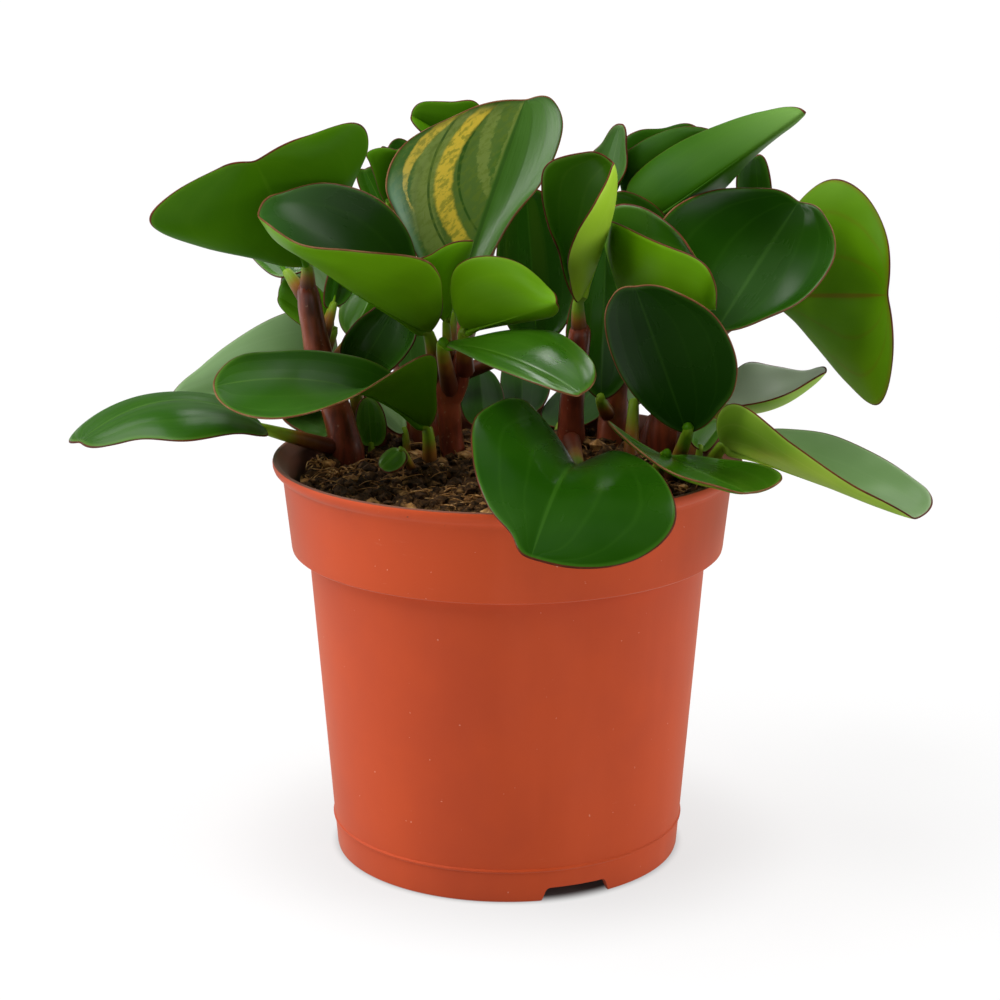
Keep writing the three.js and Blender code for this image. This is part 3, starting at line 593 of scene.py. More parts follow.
def fibre(x, y, length, lift, wide=1.0):
    """A bent fibre of a length in mm that starts at a place and rises by its lift."""
    heading, bend = chance.uniform(0, math.tau), chance.uniform(-0.25, 0.25)
    point = Vector((x, y, soil_height(x, y) - SUNK_START))
    points, rise = [], lift
    for _ in range(FIBRE_POINTS):
        points.append(point.copy())
        heading += bend + chance.uniform(-0.25, 0.25)
        rise -= lift / 5
        step = Vector((math.cos(heading), math.sin(heading), rise)).normalized()
        point = point + length / (FIBRE_POINTS - 1) * step
        point.z = max(point.z, soil_height(point.x, point.y) + ABOVE_SOIL)
        over = math.hypot(point.x, point.y) / CRUMB_CIRCLE
        if over > 1:
            point.x, point.y = point.x / over, point.y / over
    thin = wide * chance.uniform(0.1, 0.22)
    return thread(points, [thin * (1.2 - 0.09 * k) for k in range(FIBRE_POINTS)], 0)


# %% [markdown]
# Single fibres lie all over the bed, short ones stand together in clumps, and a few long ones stick up
# where the photograph shows them. With the golden crumbs they become one piece.

# %% Fibres and clumps
SINGLE_FIBRES, IN_A_CLUMP, CLUMP_SPREAD = 260, 15, 1.6
CLUMPS = (
    (-49, 13), (-44, 3), (-36, 1), (-30, -7), (-24, -14), (-12, -15), (-20, 12), (-16, 21), (-8, -21),
    (-17, -19), (-33, 12), (30, -5), (22, 18), (5, -25),
)
LONG_FIBRES = ((-36, 0, 8), (-40, 4, 14), (-22, -12, 9), (-27, -4, 12), (-14, -16, 8))

fibres = []
for _ in range(SINGLE_FIBRES):
    place = somewhere(FIBRE_CIRCLE)
    fibres.append(fibre(*place, chance.uniform(4, 14), chance.uniform(0.0, 1.0)))
for x, y in CLUMPS:
    for _ in range(IN_A_CLUMP):
        place = (x + chance.gauss(0, CLUMP_SPREAD), y + chance.gauss(0, CLUMP_SPREAD))
        fibres.append(fibre(*place, chance.uniform(3, 8), chance.uniform(0.3, 2.2), 1.5))
for x, y, length in LONG_FIBRES:
    fibres.append(fibre(x, y, length, chance.uniform(1.2, 3.0), 1.3))
pick(*fibres, golden)
bpy.ops.object.join()
fibres = bpy.context.object
fibres.name = "coir_fibres"
print("fibre triangles:", triangles(fibres))

# %% [markdown]
# Moist peat is nearly black-brown with redder and paler grains, and quite matt. The dry coir is golden
# brown.

# %% Finish of the soil


def soil_finish(name, dark, mid, pale, scale, rough):
    """Grains from dark to mid, with pale flecks and clumps."""
    finish, shader = new_finish(name)
    spot = in_space(finish)
    grains = cloudy(finish, spot, scale, 6, 0.7)
    patches = cloudy(finish, spot, scale / 7, 3)
    colour = mixed(finish, fade(finish, grains, 0.35, 0.65), dark, mid)
    flecks = times(finish, fade(finish, grains, 0.56, 0.72), fade(finish, patches, 0.4, 0.65))
    colour = mixed(finish, flecks, colour, pale)
    clumps = fade(finish, cloudy(finish, spot, scale / 2.6, 2), 0.58, 0.68, 0, 0.6)
    colour = mixed(finish, clumps, colour, pale)
    relief = bumpy(finish, grains, 0.4 * MM, 0.8)
    set_finish(finish, shader, Base_Color=colour, Roughness=rough, Normal=relief, Specular_IOR_Level=0.25)
    return finish


PEAT_COLOURS = (0.012, 0.006, 0.002), (0.095, 0.043, 0.014), (0.42, 0.22, 0.07)
COIR_COLOURS = (0.17, 0.07, 0.02), (0.5, 0.25, 0.075), (0.75, 0.47, 0.2)
peat = soil_finish("moist_peat", *PEAT_COLOURS, 700, 0.9)
coir = soil_finish("dry_coir", *COIR_COLOURS, 500, 0.7)
soil.data.materials.append(peat)
crumbs.data.materials.append(peat)
pick(soil, crumbs)
bpy.ops.object.join()
stand_for(soil, "soil")
fibres.data.materials.clear()
fibres.data.materials.append(coir)
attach(fibres, "root")
print("soil triangles:", triangles(soil))

# %% [markdown]
# ## The stems and the places of the leaves
# Short fleshy stems rise from the peat and carry most of the leaves. Each has the points of its solid, in
# mm, and a radius at each of them. They were read off the photograph through its camera.

# %% Where the stems are
STEMS = [
    {"name": "stem_left",
     "path": [[-41, 15, 82], [-42, 16, 98], [-44, 18, 109], [-49, 22, 124], [-51, 22, 135], [-52, 21, 143]],
     "radii": [4.0, 4.2, 3.8, 3.4, 3.1, 2.5]},
    {"name": "stem_middle",
     "path": [[-13, 21, 82], [-14, 20, 96], [-15, 20, 106], [-16, 18, 118], [-17, 17, 124]],
     "radii": [3.4, 3.6, 3.2, 3.2, 2.6],
     "arm": [[-15, 18, 115], [-13, 17, 121], [-12, 15, 126]],
     "arm_radii": [2.8, 2.6, 2.2]},
    {"name": "stem_centre",
     "path": [[17, 29, 82], [17, 28, 98], [17, 27, 110], [18, 25, 121], [19, 22, 132]],
     "radii": [3.4, 3.6, 3.3, 3.1, 2.7]},
    {"name": "stem_right",
     "path": [[40, 20, 82], [40, 20, 98], [42, 19, 114], [44, 18, 128], [43, 22, 142]],
     "radii": [3.9, 4.2, 3.8, 3.3, 2.4]},
    {"name": "stem_back_left",
     "path": [[-25, 39, 82], [-26, 40, 98], [-28, 43, 124], [-30, 43, 144], [-30, 43, 154]],
     "radii": [3.6, 3.8, 3.4, 3.0, 2.4]},
    {"name": "stem_back_middle",
     "path": [[-16, 44, 82], [-17, 45, 98], [-16, 50, 112], [-9, 57, 135], [-4, 62, 158]],
     "radii": [3.4, 3.6, 3.4, 3.0, 2.4]},
    {"name": "stem_back_right",
     "path": [[28, 36, 82], [28, 38, 98], [31, 44, 120], [33, 48, 140], [33, 49, 150]],
     "radii": [3.8, 4.0, 3.6, 3.0, 2.4]},
]
print("stems placed:", len(STEMS))

# %% [markdown]
# Every leaf has a row of its own, in mm: its name and what carries it, the root of its stalk, the base and
# tip of its blade, and places on its left and right rims from the base on. Bend is a bend in the stalk, arch
# lifts the middle of the midrib, cup hollows the blade, and petiole thins the stalk of a small leaf.

# %% The leaves on the left
LEAVES = []


def grow(name, on, root, base, tip, left, right, **more):
    """Adds a leaf's row to the list."""
    LEAVES.append(dict(name=name, on=on, root=root, base=base, tip=tip, left=left, right=right, **more))


grow("leaf_left_high", "stem_left", (-52, 21, 141.5), (-52, 20, 149.5), (-62, -12, 181),
     [(-46.5, 17, 157), (-39.5, 12, 172.5), (-35, 6, 183), (-38.5, 0, 189), (-50.5, -6, 186)],
     [(-63, 14, 152.5), (-76.5, 3, 157.5), (-88.5, -8, 165), (-82.5, -11, 173), (-70, -12, 179.5)])
grow("leaf_left_high_back", "stem_left", (-51, 23, 138), (-57, 26, 146.5), (-73.5, 50, 161.5),
     [(-69.5, 38, 151)], [(-55.5, 46, 154.5)])
grow("leaf_spoon", "stem_middle", (-18, 17, 120), (-20, 12, 133.5), (-60.5, -22, 169),
     [(-16.5, -3, 145), (-17, -20, 155), (-22.5, -36, 161.5), (-37, -42, 164), (-51.5, -36, 165.5)],
     [(-21.5, 14, 145.5), (-25, 14, 158.5), (-32.5, 7, 169), (-45.5, -3, 174.5), (-56.5, -13, 173)],
     arch=-2, cup=0.1)
grow("leaf_striped", "stem_middle", (-16, 21, 118), (-14.5, 20, 136.5), (5, 42, 190.5),
     [(-21.5, 20, 147.5), (-28, 20, 161.5), (-31.5, 22, 171), (-26, 29, 181), (-11, 37, 188)],
     [(-7.5, 22, 146.5), (0.5, 26, 160.5), (9.5, 31, 171), (14.5, 37, 183.5), (12, 41, 190.5)], cup=0.05)
grow("leaf_young", "stem_middle", (-15, 17, 120), (-16, 13, 136), (-9, 4, 159),
     [(-14, 14, 143), (-11, 10, 151), (-10, 8, 156)], [(-19, 8, 143), (-23, 0, 154), (-18, 0, 157)],
     petiole=0.7)
grow("leaf_round", "stem_middle", (-11, 15, 123), (-11, 6, 135), (12.5, -16, 146.5),
     [(-7, 8, 136.5), (-2, 9, 138), (3, 6, 139), (8, -2, 140.5), (12, -10, 143)],
     [(-14, 3, 144), (-13, 0, 152.5), (-5.5, -3, 156), (4, -6, 154), (11, -11, 148.5)])
grow("leaf_shiny", "stem_middle", (-15, 16, 118), (-16.5, -4, 134), (17.5, -44, 129.5),
     [(-9.5, 0, 134.5), (0, -1, 137), (11.5, -11, 138.5), (19, -25, 136), (21.5, -35, 132.5)],
     [(-13, -11, 133.5), (-5.5, -25, 133), (3, -37, 132), (10, -44, 131), (14.5, -46, 130)], arch=3,
     cup=-0.05)
grow("leaf_left_low", "soil", (-20, 12, 91), (-20.5, 10, 108.5), (-73.5, -14, 125),
     [(-18, 3, 118.5), (-19, -8, 132.5), (-37, -33, 127), (-52.5, -37, 122.5), (-66, -29, 122)],
     [(-23.5, 12, 116.5), (-32.5, 12, 125), (-45, 10, 129), (-59.5, 4, 130.5), (-70, -5, 130)], arch=7,
     cup=0.05)
grow("leaf_left_drooping", "stem_left", (-42, 17, 101), (-62, 5, 110), (-108.5, -7, 109),
     [(-64, -10, 112), (-79, -25, 113.5), (-96, -18, 111.5)],
     [(-72, 16, 114), (-96, 16, 114), (-112, 8, 108)], arch=9, cup=-0.12)
grow("leaf_left_pale", "stem_left", (-45, 20, 110), (-46, 38, 114), (-90, 27, 113),
     [(-52, 24, 114), (-63, 19, 114), (-80, 20, 113)],
     [(-47, 49, 127.5), (-54.5, 50, 133), (-65.5, 47, 130.5), (-76, 41, 124.5), (-85, 34, 118)], cup=-0.05)
grow("leaf_left_bud", "stem_left", (-50, 23, 121), (-46, 31, 130), (-61, 35, 139), [(-53, 37, 143)],
     [(-55, 31, 132)], petiole=0.7)
grow("leaf_left_grey", "stem_back_left", (-29, 43, 126), (-45, 46, 135), (-55, 52, 147), [(-61, 52, 136)],
     [(-45, 51, 145)], petiole=0.8)
grow("leaf_left_inner", "stem_left", (-49, 23, 128), (-46, 30, 137), (-43, 38, 152), [(-48, 32, 143)],
     [(-40, 38, 144)], petiole=0.8)
grow("leaf_left_bright", "stem_left", (-49, 24, 119), (-42, 34, 128), (-35, 40, 141), [(-44, 42, 138)],
     [(-34, 36, 131)], petiole=0.8)
grow("leaf_left_dark", "soil", (-38, 27, 91), (-41, 29, 118), (-28, 17, 141),
     [(-44, 25, 126), (-40, 23, 134), (-34, 19, 139)], [(-32, 21, 121), (-24, 11, 132), (-25, 13, 139)])
print("leaves placed:", len(LEAVES))

# %% [markdown]
# The leaves at the top are mostly on the three back stems, and the bright upright one is on the stem in the
# centre.

# %% The leaves in the middle and at the top
grow("leaf_middle_pale", "soil", (-24, 30, 91), (-25, 33, 117), (-27, 37, 131), [(-30, 35, 124)],
     [(-21, 35, 126)], petiole=0.8)
grow("leaf_top_back", "stem_back_middle", (0, 61, 148), (-6, 52, 173), (-26, 50, 185),
     [(-7, 50, 187), (-15, 50, 189), (-22, 50, 189)], [(-15, 46, 173), (-20, 46, 177), (-24, 46, 182)])
grow("leaf_top_small", "stem_back_left", (-29, 42, 136), (-31, 32, 163), (-29, 34, 178), [(-26, 32, 173)],
     [(-34, 30, 169), (-36, 30, 175), (-36, 31, 178)], petiole=0.8)
grow("leaf_top_dark", "stem_back_left", (-30, 42, 143), (-32, 38, 160), (-38, 42, 172), [(-39, 40, 167)],
     [(-30, 40, 169)], petiole=0.7)
grow("leaf_top_hidden", "stem_back_left", (-30, 42, 150), (-25, 45, 169), (-32, 48, 177), [(-32, 46, 175)],
     [(-26, 48, 178)], petiole=0.8)
grow("leaf_centre_dark", "stem_back_middle", (-15, 51, 114), (8, 47, 124), (5, 56, 165), [(-3, 51, 143)],
     [(18, 50, 146)])
grow("leaf_upright", "stem_centre", (19, 23, 129), (18, 19, 140), (26.5, 7, 178),
     [(14, 15, 151.5), (10.5, 10, 161.5), (8.5, 8, 171), (10.5, 8, 178), (20.5, 9, 180.5)],
     [(16, 11, 147.5), (15, 1, 155), (17, -7, 163), (21.5, -8, 170.5), (25, -1, 176.5)], arch=-3, cup=0.12)
grow("leaf_streaked", "stem_back_right", (30, 43, 117), (24, 41, 155), (30, 43, 184),
     [(22, 43, 166), (22, 45, 175), (26, 45, 180)], [(27, 36, 165), (31, 37, 173), (31, 39, 180)],
     bend=(27, 46, 134))
grow("leaf_top_right_back", "stem_back_right", (33, 50, 146), (32, 53, 162), (51, 52, 182), [(49, 51, 172)],
     [(30, 53, 175), (35, 53, 181), (44, 53, 182)])
grow("leaf_top_right", "stem_back_right", (34, 46, 138), (34, 46, 159), (54, 36, 183), [(51, 40, 172)],
     [(30, 44, 172), (34, 44, 178), (42, 42, 182)])
print("leaves placed:", len(LEAVES))

# %% [markdown]
# The long leaf at the top rises from the right stem to the highest tip. Most of the low ones in front start
# in the soil, and some reach out over the lip.

# %% The leaves on the right and in front
grow("leaf_top_long", "stem_right", (42, 24, 137), (36.5, 34, 158), (74, 0, 192),
     [(46, 36, 161), (55.5, 37, 166.5), (62.5, 31, 175.5), (68.5, 19, 183.5), (72, 6, 188.5)],
     [(31.5, 37, 164.5), (34, 39, 171), (45, 36, 179.5), (58, 25, 186.5), (68, 11, 191)],
     bend=(38, 32, 148), cup=0.04)
grow("leaf_right_hidden", "stem_back_right", (33, 47, 132), (68, 44, 155), (66, 46, 175), [(61, 44, 167)],
     [(70, 44, 168)], bend=(54, 47, 140))
grow("leaf_right_broad", "stem_right", (44, 18, 126), (53, 6, 135), (76, 28, 165.5),
     [(47.5, 12, 141), (39.5, 19, 154), (41.5, 21.5, 163.5), (53.5, 24, 169), (68, 28, 169)],
     [(63.5, 3, 138.5), (74, 1, 144), (81.5, 3, 152.5), (83, 9, 159), (81, 20, 164)])
grow("leaf_right_hanging", "stem_right", (43, 20, 121), (72, 46, 137), (98, 13, 143.5),
     [(76, 43, 132.5), (82.5, 37, 126), (90.5, 28, 117), (97.5, 18, 113.5), (100, 13, 126.5)],
     [(73, 45, 152.5), (78.5, 41, 164.5), (86, 34, 170.5), (93.5, 25, 167), (98, 17, 157)],
     bend=(58, 37, 130))
grow("leaf_right_cupped", "stem_right", (43, 19, 123), (32, 15, 137), (51, -20, 146),
     [(27, 22, 155), (27, 24, 164.5), (35, 20, 165), (43, 10, 160), (47.5, -2, 154)],
     [(27, 20, 152.5), (25, 21, 161.5), (35.5, -9, 161.5), (46, -24, 159), (50, -28, 154.5)], arch=-1)
grow("leaf_right_inner", "stem_right", (44, 20, 137), (41.5, 26, 157.5), (27, 28, 166.5), [(34, 27, 160)],
     [(36, 27, 166)], petiole=0.8)
grow("leaf_front_dark", "soil", (41, 10, 91), (44.5, -20, 114), (30.5, -30, 153),
     [(36.5, -21, 118.5), (29.5, -25, 127), (25, -28, 136.5), (23.5, -30, 145.5), (25.5, -30, 151)],
     [(51, -25, 120), (55, -29, 127), (55, -32, 136.5), (49, -34, 147), (39, -33, 152.5)], cup=0.06)
grow("leaf_front_heart", "stem_centre", (17, 26, 102), (17.5, -26, 107), (5, -76, 98),
     [(24.5, -27, 111.5), (34.5, -42, 112), (39.5, -62, 106.5), (35, -73, 100.5), (22, -77, 96)],
     [(6.5, -18, 121), (-6.5, -30, 122.5), (-8.5, -48, 115.5), (-4.5, -64, 107.5), (1.5, -73, 101.5)],
     arch=8, cup=-0.04)
grow("leaf_front_folded", "soil", (35, -4, 91), (39, -20, 109), (57, -50, 107),
     [(48, -16, 108), (62, -24, 108), (66, -40, 108)], [(25, -26, 119), (37, -44, 112), (50, -51, 109)])
grow("leaf_right_low", "soil", (47, 3, 91), (54, -10, 109), (99, -40, 98),
     [(70, 5, 110), (88, 5, 107), (104, -22, 101)], [(55, -20, 122), (69, -36, 116), (87, -42, 105)])
grow("leaf_right_pale", "soil", (46, 13, 91), (57, 24, 111), (83, 16, 123),
     [(62, 36, 120), (72, 38, 120), (81, 28, 121)], [(59, 6, 116), (68, 2, 119), (77, 8, 122)],
     bend=(49, 17, 104), arch=-3)
grow("leaf_front_small", "soil", (48, -5, 92), (49, -7, 107), (55, 0, 113), [(47, -9, 114)],
     [(53, -5, 109)], petiole=0.6)
grow("seedling", "soil", (-22, 8, 93), (-27, 2, 105), (-32, -6, 102), [(-27, -8, 103)], [(-32, 2, 104)],
     petiole=0.6)
print("leaves placed:", len(LEAVES))

# %% [markdown]
# The photograph hides most of the next ones. They stand between the stems and behind them, so that the plant
# looks full from every side.

# %% The small, inner and back leaves
grow("leaf_centre_narrow", "stem_back_right", (28, 39, 105), (25, 33, 111), (26, 36, 155),
     [(17, 33, 123), (16, 35, 133), (20, 37, 146)], [(33, 31, 120), (35, 31, 134), (32, 35, 148)])
grow("leaf_left_lower_back", "stem_left", (-42, 17, 101), (-47, 23, 105), (-60, 26, 110), [(-53, 14, 107)],
     [(-53, 31, 111)], petiole=0.7)
grow("leaf_middle_narrow", "soil", (-35, 22, 91), (-36, 22, 101), (-37, 25, 114), [(-40, 23, 107)],
     [(-32, 23, 107)], petiole=0.6)
grow("leaf_middle_grey", "soil", (-26, 24, 91), (-27, 27, 104), (-38, 32, 115), [(-34, 26, 108)],
     [(-31, 34, 112)], petiole=0.6)
grow("leaf_back_1", "soil", (-33, 32, 91), (-50, 54, 116), (-82, 70, 106), [(-76, 52, 112)],
     [(-60, 73, 113)], bend=(-37, 39, 106))
grow("leaf_back_2", "stem_back_left", (-29, 43, 134), (-34, 58, 139), (-48, 76, 134), [(-54, 62, 142)],
     [(-30, 75, 139)])
grow("leaf_back_3", "stem_back_middle", (-4, 61, 150), (-7, 66, 159), (-19, 76, 171), [(-26, 67, 168)],
     [(-2, 76, 166)])
grow("leaf_back_4", "stem_back_right", (33, 48, 142), (42, 55, 147), (62, 76, 140), [(40, 75, 146)],
     [(66, 56, 144)])
grow("leaf_back_5", "soil", (36, 27, 93), (80, 56, 95), (112, 68, 79), [(90, 77, 84)], [(99, 46, 90)],
     bend=(43, 34, 108))
grow("leaf_inner_left", "soil", (-3, 30, 91), (-6, 34, 104), (-8, 64, 114), [(-13, 50, 108)],
     [(-1, 50, 109)], petiole=0.8)
grow("leaf_inner_middle", "soil", (4, 37, 91), (4, 41, 105), (4, 77, 117), [(-2, 62, 111)], [(12, 62, 112)],
     petiole=0.8)
grow("leaf_inner_right", "soil", (12, 33, 91), (14, 37, 103), (30, 74, 112), [(13, 58, 108)],
     [(30, 53, 107)], petiole=0.8)
grow("leaf_right_behind", "soil", (32, 13, 91), (33, 20, 112), (39, 26, 134), [(33, 25, 123)],
     [(42, 23, 126)])
print("leaves placed:", len(LEAVES))

# %% [markdown]
# A stem or a leaf stalk is a round rod that follows a smooth curve through its points. Its far end is
# closed by three small rings, so that it is round and not cut off.

# %% Rods along smooth curves
KNOT_SWELLING, KNOT_REACH = 0.09, 4.5
ROUND_END = ((0.45, 0.86), (0.75, 0.6), (0.9, 0.25))


def smooth_between(a, b, c, d, t):
    """A place on the smooth curve from b to c, with a before them and d after."""
    return 0.5 * (2 * b + (c - a) * t + (2 * a - 5 * b + 4 * c - d) * t * t + (3 * b - a - 3 * c + d) * t**3)


def smooth_path(points, steps):
    """Points on a smooth curve through the given ones, with steps to each span, and their places."""
    ends = [points[0] * 2 - points[1], *points, points[-1] * 2 - points[-2]]
    path, places = [], []
    for span in range(len(points) - 1):
        last = span == len(points) - 2
        for step in range(steps + last):
            path.append(smooth_between(*ends[span : span + 4], step / steps))
            places.append(span + step / steps)
    return path, places


def rod(points, radii, knots, steps, sides):
    """A round rod along a smooth curve, rounded at its far end and swollen at the knots."""
    path, places = smooth_path([Vector(p) for p in points], steps)
    widths = [float(np.interp(place, range(len(radii)), radii)) for place in places]
    for k, point in enumerate(path):
        for knot in knots:
            near = (point - Vector(knot)).length / KNOT_REACH
            widths[k] *= 1 + KNOT_SWELLING * math.exp(-near * near)
    heading, end, width = (path[-1] - path[-2]).normalized(), path[-1], widths[-1]
    for push, shrink in ROUND_END:
        path.append(end + heading * width * push)
        widths.append(width * shrink)
    return thread(path, widths, sides)


# %% [markdown]
# A stem swells a little at each knot, where a leaf stalk starts from it. The middle stem is forked, so its
# arm is a second rod that is joined to it.

# %% The stems
stems = []
for row in STEMS:
    knots = [leaf["root"] for leaf in LEAVES if leaf["on"] == row["name"]]
    parts = [rod(row["path"], row["radii"], knots, 8, 4)]
    if "arm" in row:
        parts.append(rod(row["arm"], row["arm_radii"], knots, 8, 4))
    pick(*parts)
    if len(parts) > 1:
        bpy.ops.object.join()
    stem = bpy.context.object
    stem.name = row["name"].replace("stem_", "fleshy_stem_")
    bpy.ops.object.shade_smooth()
    stand_for(stem, row["name"])
    stems.append(stem)
print("stems:", len(stems), "triangles:", sum(triangles(stem) for stem in stems))

# %% [markdown]
# The bark is smooth and a little glossy, dark red-brown with lighter red patches, faint lengthwise
# streaks and tiny pale pores.

# %% Finish of the stems
BARK_DARK, BARK_RED = (0.075, 0.014, 0.006), (0.2, 0.033, 0.013)
BARK_PATCH, PORE = (0.34, 0.075, 0.028), (0.32, 0.16, 0.1)
bark, shader = new_finish("red_brown_bark")
spot = in_space(bark)
streaks = cloudy(bark, stretched(bark, spot, (520, 520, 60)), 1.0, 4, 0.6)
patches = cloudy(bark, spot, 90, 3)
colour = mixed(bark, fade(bark, streaks, 0.3, 0.7), BARK_DARK, BARK_RED)
colour = mixed(bark, fade(bark, patches, 0.42, 0.7, 0, 0.6), colour, BARK_PATCH)
pores = fade(bark, cloudy(bark, spot, 900, 1), 0.7, 0.76)
colour = mixed(bark, times(bark, pores, 0.6), colour, PORE)
relief = bumpy(bark, streaks, 0.25 * MM, 0.5)
set_finish(bark, shader, Base_Color=colour, Roughness=0.3, Normal=relief, Specular_IOR_Level=0.45)
for stem in stems:
    stem.data.materials.clear()
    stem.data.materials.append(bark)
print("finish:", bark.name)

# %% [markdown]
# ## The leaves
# A blade is a fleshy oval, cupped or arched about its midrib. A grid is drawn out to a disc, and each of
# its points is laid on the same surface as in the solid: along the midrib, then out along the arm to the
# rim. The disc keeps the faces square, even at the base and the tip.

# %% The surface of a blade
ROUNDNESS, CUP, BROAD = 0.85, 0.1, 0.24


def along(t):
    """How far along the midrib a step t from base to tip is."""
    return 0.5 - 0.5 * math.cos(math.pi * t)


def reach_at(t):
    """How wide the blade is there, from 0 at its ends to 1 in the middle."""
    return max(math.sin(math.pi * t), 0) ** ROUNDNESS


def up_of(leaf):
    """The way the blade's upper face looks."""
    left, right = (Vector(leaf[side][len(leaf[side]) // 2]) for side in ("left", "right"))
    return (right - left).cross(Vector(leaf["tip"]) - Vector(leaf["base"])).normalized()


def midrib(leaf, s):
    """A place on the midrib, from 0 at its base to 1 at its tip."""
    bow = leaf.get("arch", 0) * 4 * s * (1 - s)
    return Vector(leaf["base"]).lerp(Vector(leaf["tip"]), s) + up_of(leaf) * bow


def arm_at(leaf, side, t):
    """From the midrib to the rim, before the outline's roundness is taken off."""
    edge = leaf[side]
    step = 1 / (len(edge) + 1)
    arms = [(Vector(p) - midrib(leaf, along(k * step))) / reach_at(k * step) for k, p in enumerate(edge, 1)]
    if len(arms) == 1:
        return arms[0] * (1 + BROAD * (0.5 - t))
    ends = [arms[1], *arms, arms[-2]]
    place = min(max(t / step, 1), len(arms))
    first = min(int(place), len(arms) - 1)
    return smooth_between(*ends[first - 1 : first + 3], place - first)


def blade_point(leaf, across, t):
    """The place on the upper face, from -1 at the left rim to 1 at the right, t from base to tip."""
    side, turn = ("left", 1) if across < 0 else ("right", -1)
    arm = arm_at(leaf, side, t)
    chord = Vector(leaf["tip"]) - Vector(leaf["base"])
    down = arm.cross(chord).normalized() * turn
    reached = arm * reach_at(t)
    u = abs(across)
    sag = leaf.get("cup", CUP) * reached.length * 4 * u * (1 - u)
    return midrib(leaf, along(t)) + reached * u + down * sag


# %% [markdown]
# Each corner of a blade keeps its place on it in a map, for the veins, and its distance to the rim, for the
# red edge. The rim waves a little, and no two leaves wave alike.

# %% Blades
WAVE_SCALE, WAVE_HEIGHT = 0.06, 0.4


def blade(leaf, cells):
    """The upper face of a leaf, as a grid with its map and its distances to the rim."""
    bpy.ops.object.select_all(action="DESELECT")
    bpy.ops.mesh.primitive_grid_add(x_subdivisions=cells, y_subdivisions=cells, size=2)
    made = bpy.context.object
    mesh = made.data
    places = []
    for corner in mesh.vertices:
        x, y = to_disc(corner.co.x, corner.co.y)
        half = math.sqrt(max(1 - y * y, 0))
        across = max(-1, min(1, x / half)) if half > 1e-6 else 0.0
        t = math.acos(max(-1, min(1, -y))) / math.pi
        places.append((across, t))
        point = blade_point(leaf, across, t)
        wave = noise.noise(point * WAVE_SCALE + Vector((len(leaf["name"]), 0, 0))) * abs(across) ** 3
        corner.co = (point + up_of(leaf) * wave * WAVE_HEIGHT) * MM
    while mesh.uv_layers:
        mesh.uv_layers.remove(mesh.uv_layers[0])
    chart = mesh.uv_layers.new(name="blade")
    for corner in mesh.loops:
        across, t = places[corner.vertex_index]
        chart.data[corner.index].uv = (0.5 + 0.5 * across, t)
    points = np.array([corner.co for corner in mesh.vertices]) / MM
    rim = points[[k for k, (across, t) in enumerate(places) if abs(across) > 0.999 or t in (0.0, 1.0)]]
    gaps = np.sqrt(((points[:, None] - rim[None]) ** 2).sum(2)).min(1)
    to_rim = mesh.attributes.new("to_rim", "FLOAT", "POINT")
    to_rim.data.foreach_set("value", gaps.astype(np.float32))
    return made


# %% [markdown]
# A leaf stalk starts inside its stem or the soil and goes on under the blade as the ridge of the midrib.
# The ridge takes the underside's finish, and the rest of the stalk turns from red to green on its way up.

# %% Leaf stalks
AT_ROOT, AT_BEND, AT_BLADE = 2.5, 1.8, 1.5
MIDRIB_RIDGE = ((0.05, 1.0), (0.14, 0.6), (0.25, 0.36), (0.42, 0.22), (0.6, 0.12))
THICKNESS, RIDGE_DROP, RIDGE_FROM = 0.9, 1.1, 2.5
FAR_FROM_RIM, UNDER_MIDDLE = 9.0, (0.55, 0.5)


def stalk(leaf):
    """The leaf stalk with its ridge, and how far up it each of its corners is."""
    down = -up_of(leaf)
    size = leaf.get("petiole", 1)
    points = [Vector(leaf[part]) for part in ("root", "bend") if part in leaf]
    points.append(midrib(leaf, 0) + down * THICKNESS / 2)
    start, end = points[0] * MM, points[-1] * MM
    widths = [AT_ROOT, AT_BEND, AT_BLADE] if "bend" in leaf else [AT_ROOT, AT_BLADE]
    for s, width in MIDRIB_RIDGE:
        points.append(midrib(leaf, s) + down * max(0.5, RIDGE_DROP * width * size))
        widths.append(width)
    made = rod(points, [w * size for w in widths], (), 4, 3)
    mesh = made.data
    share = mesh.attributes.new("up_stalk", "FLOAT", "POINT")
    run = end - start
    values = [max(0, min(1, (corner.co - start).dot(run) / run.length_squared)) for corner in mesh.vertices]
    share.data.foreach_set("value", values)
    away = mesh.attributes.new("to_rim", "FLOAT", "POINT")
    away.data.foreach_set("value", [FAR_FROM_RIM] * len(values))
    chart = mesh.uv_layers.new(name="blade")
    for corner in chart.data:
        corner.uv = UNDER_MIDDLE
    for face in mesh.polygons:
        under_blade = (face.center - end).length > RIDGE_FROM * MM
        face.material_index = int(values[face.vertices[0]] > 0.99 and under_blade)
    return made


# %% [markdown]
# The upper face of a leaf is dark green and glossy, with a fine relief of lengthwise veins that run from
# the base to the tip. Those veins are lines of one place across the blade, so they follow every bend. Inside
# the red rim runs a narrow margin of the veins' lighter green, partly the leaf's own paler edge and partly a
# painted highlight where the rounded edge catches light. The undersides are paler and nearly matt.

# %% Finish of a leaf
RIM_RED = (0.07, 0.016, 0.008)
RIM_TAN = (0.22, 0.11, 0.045)
VEINS = (0.0, 0.36, 0.7)


def on_blade(finish):
    """The place on the blade: across from -1 to 1, along from 0 to 1, and the distance to the rim."""
    chart = xyz(finish, node(finish, "UVMap", uv_map="blade"))
    return maths(finish, "MULTIPLY_ADD", chart[0], 2.0, -1.0), chart[1], written(finish, "to_rim")


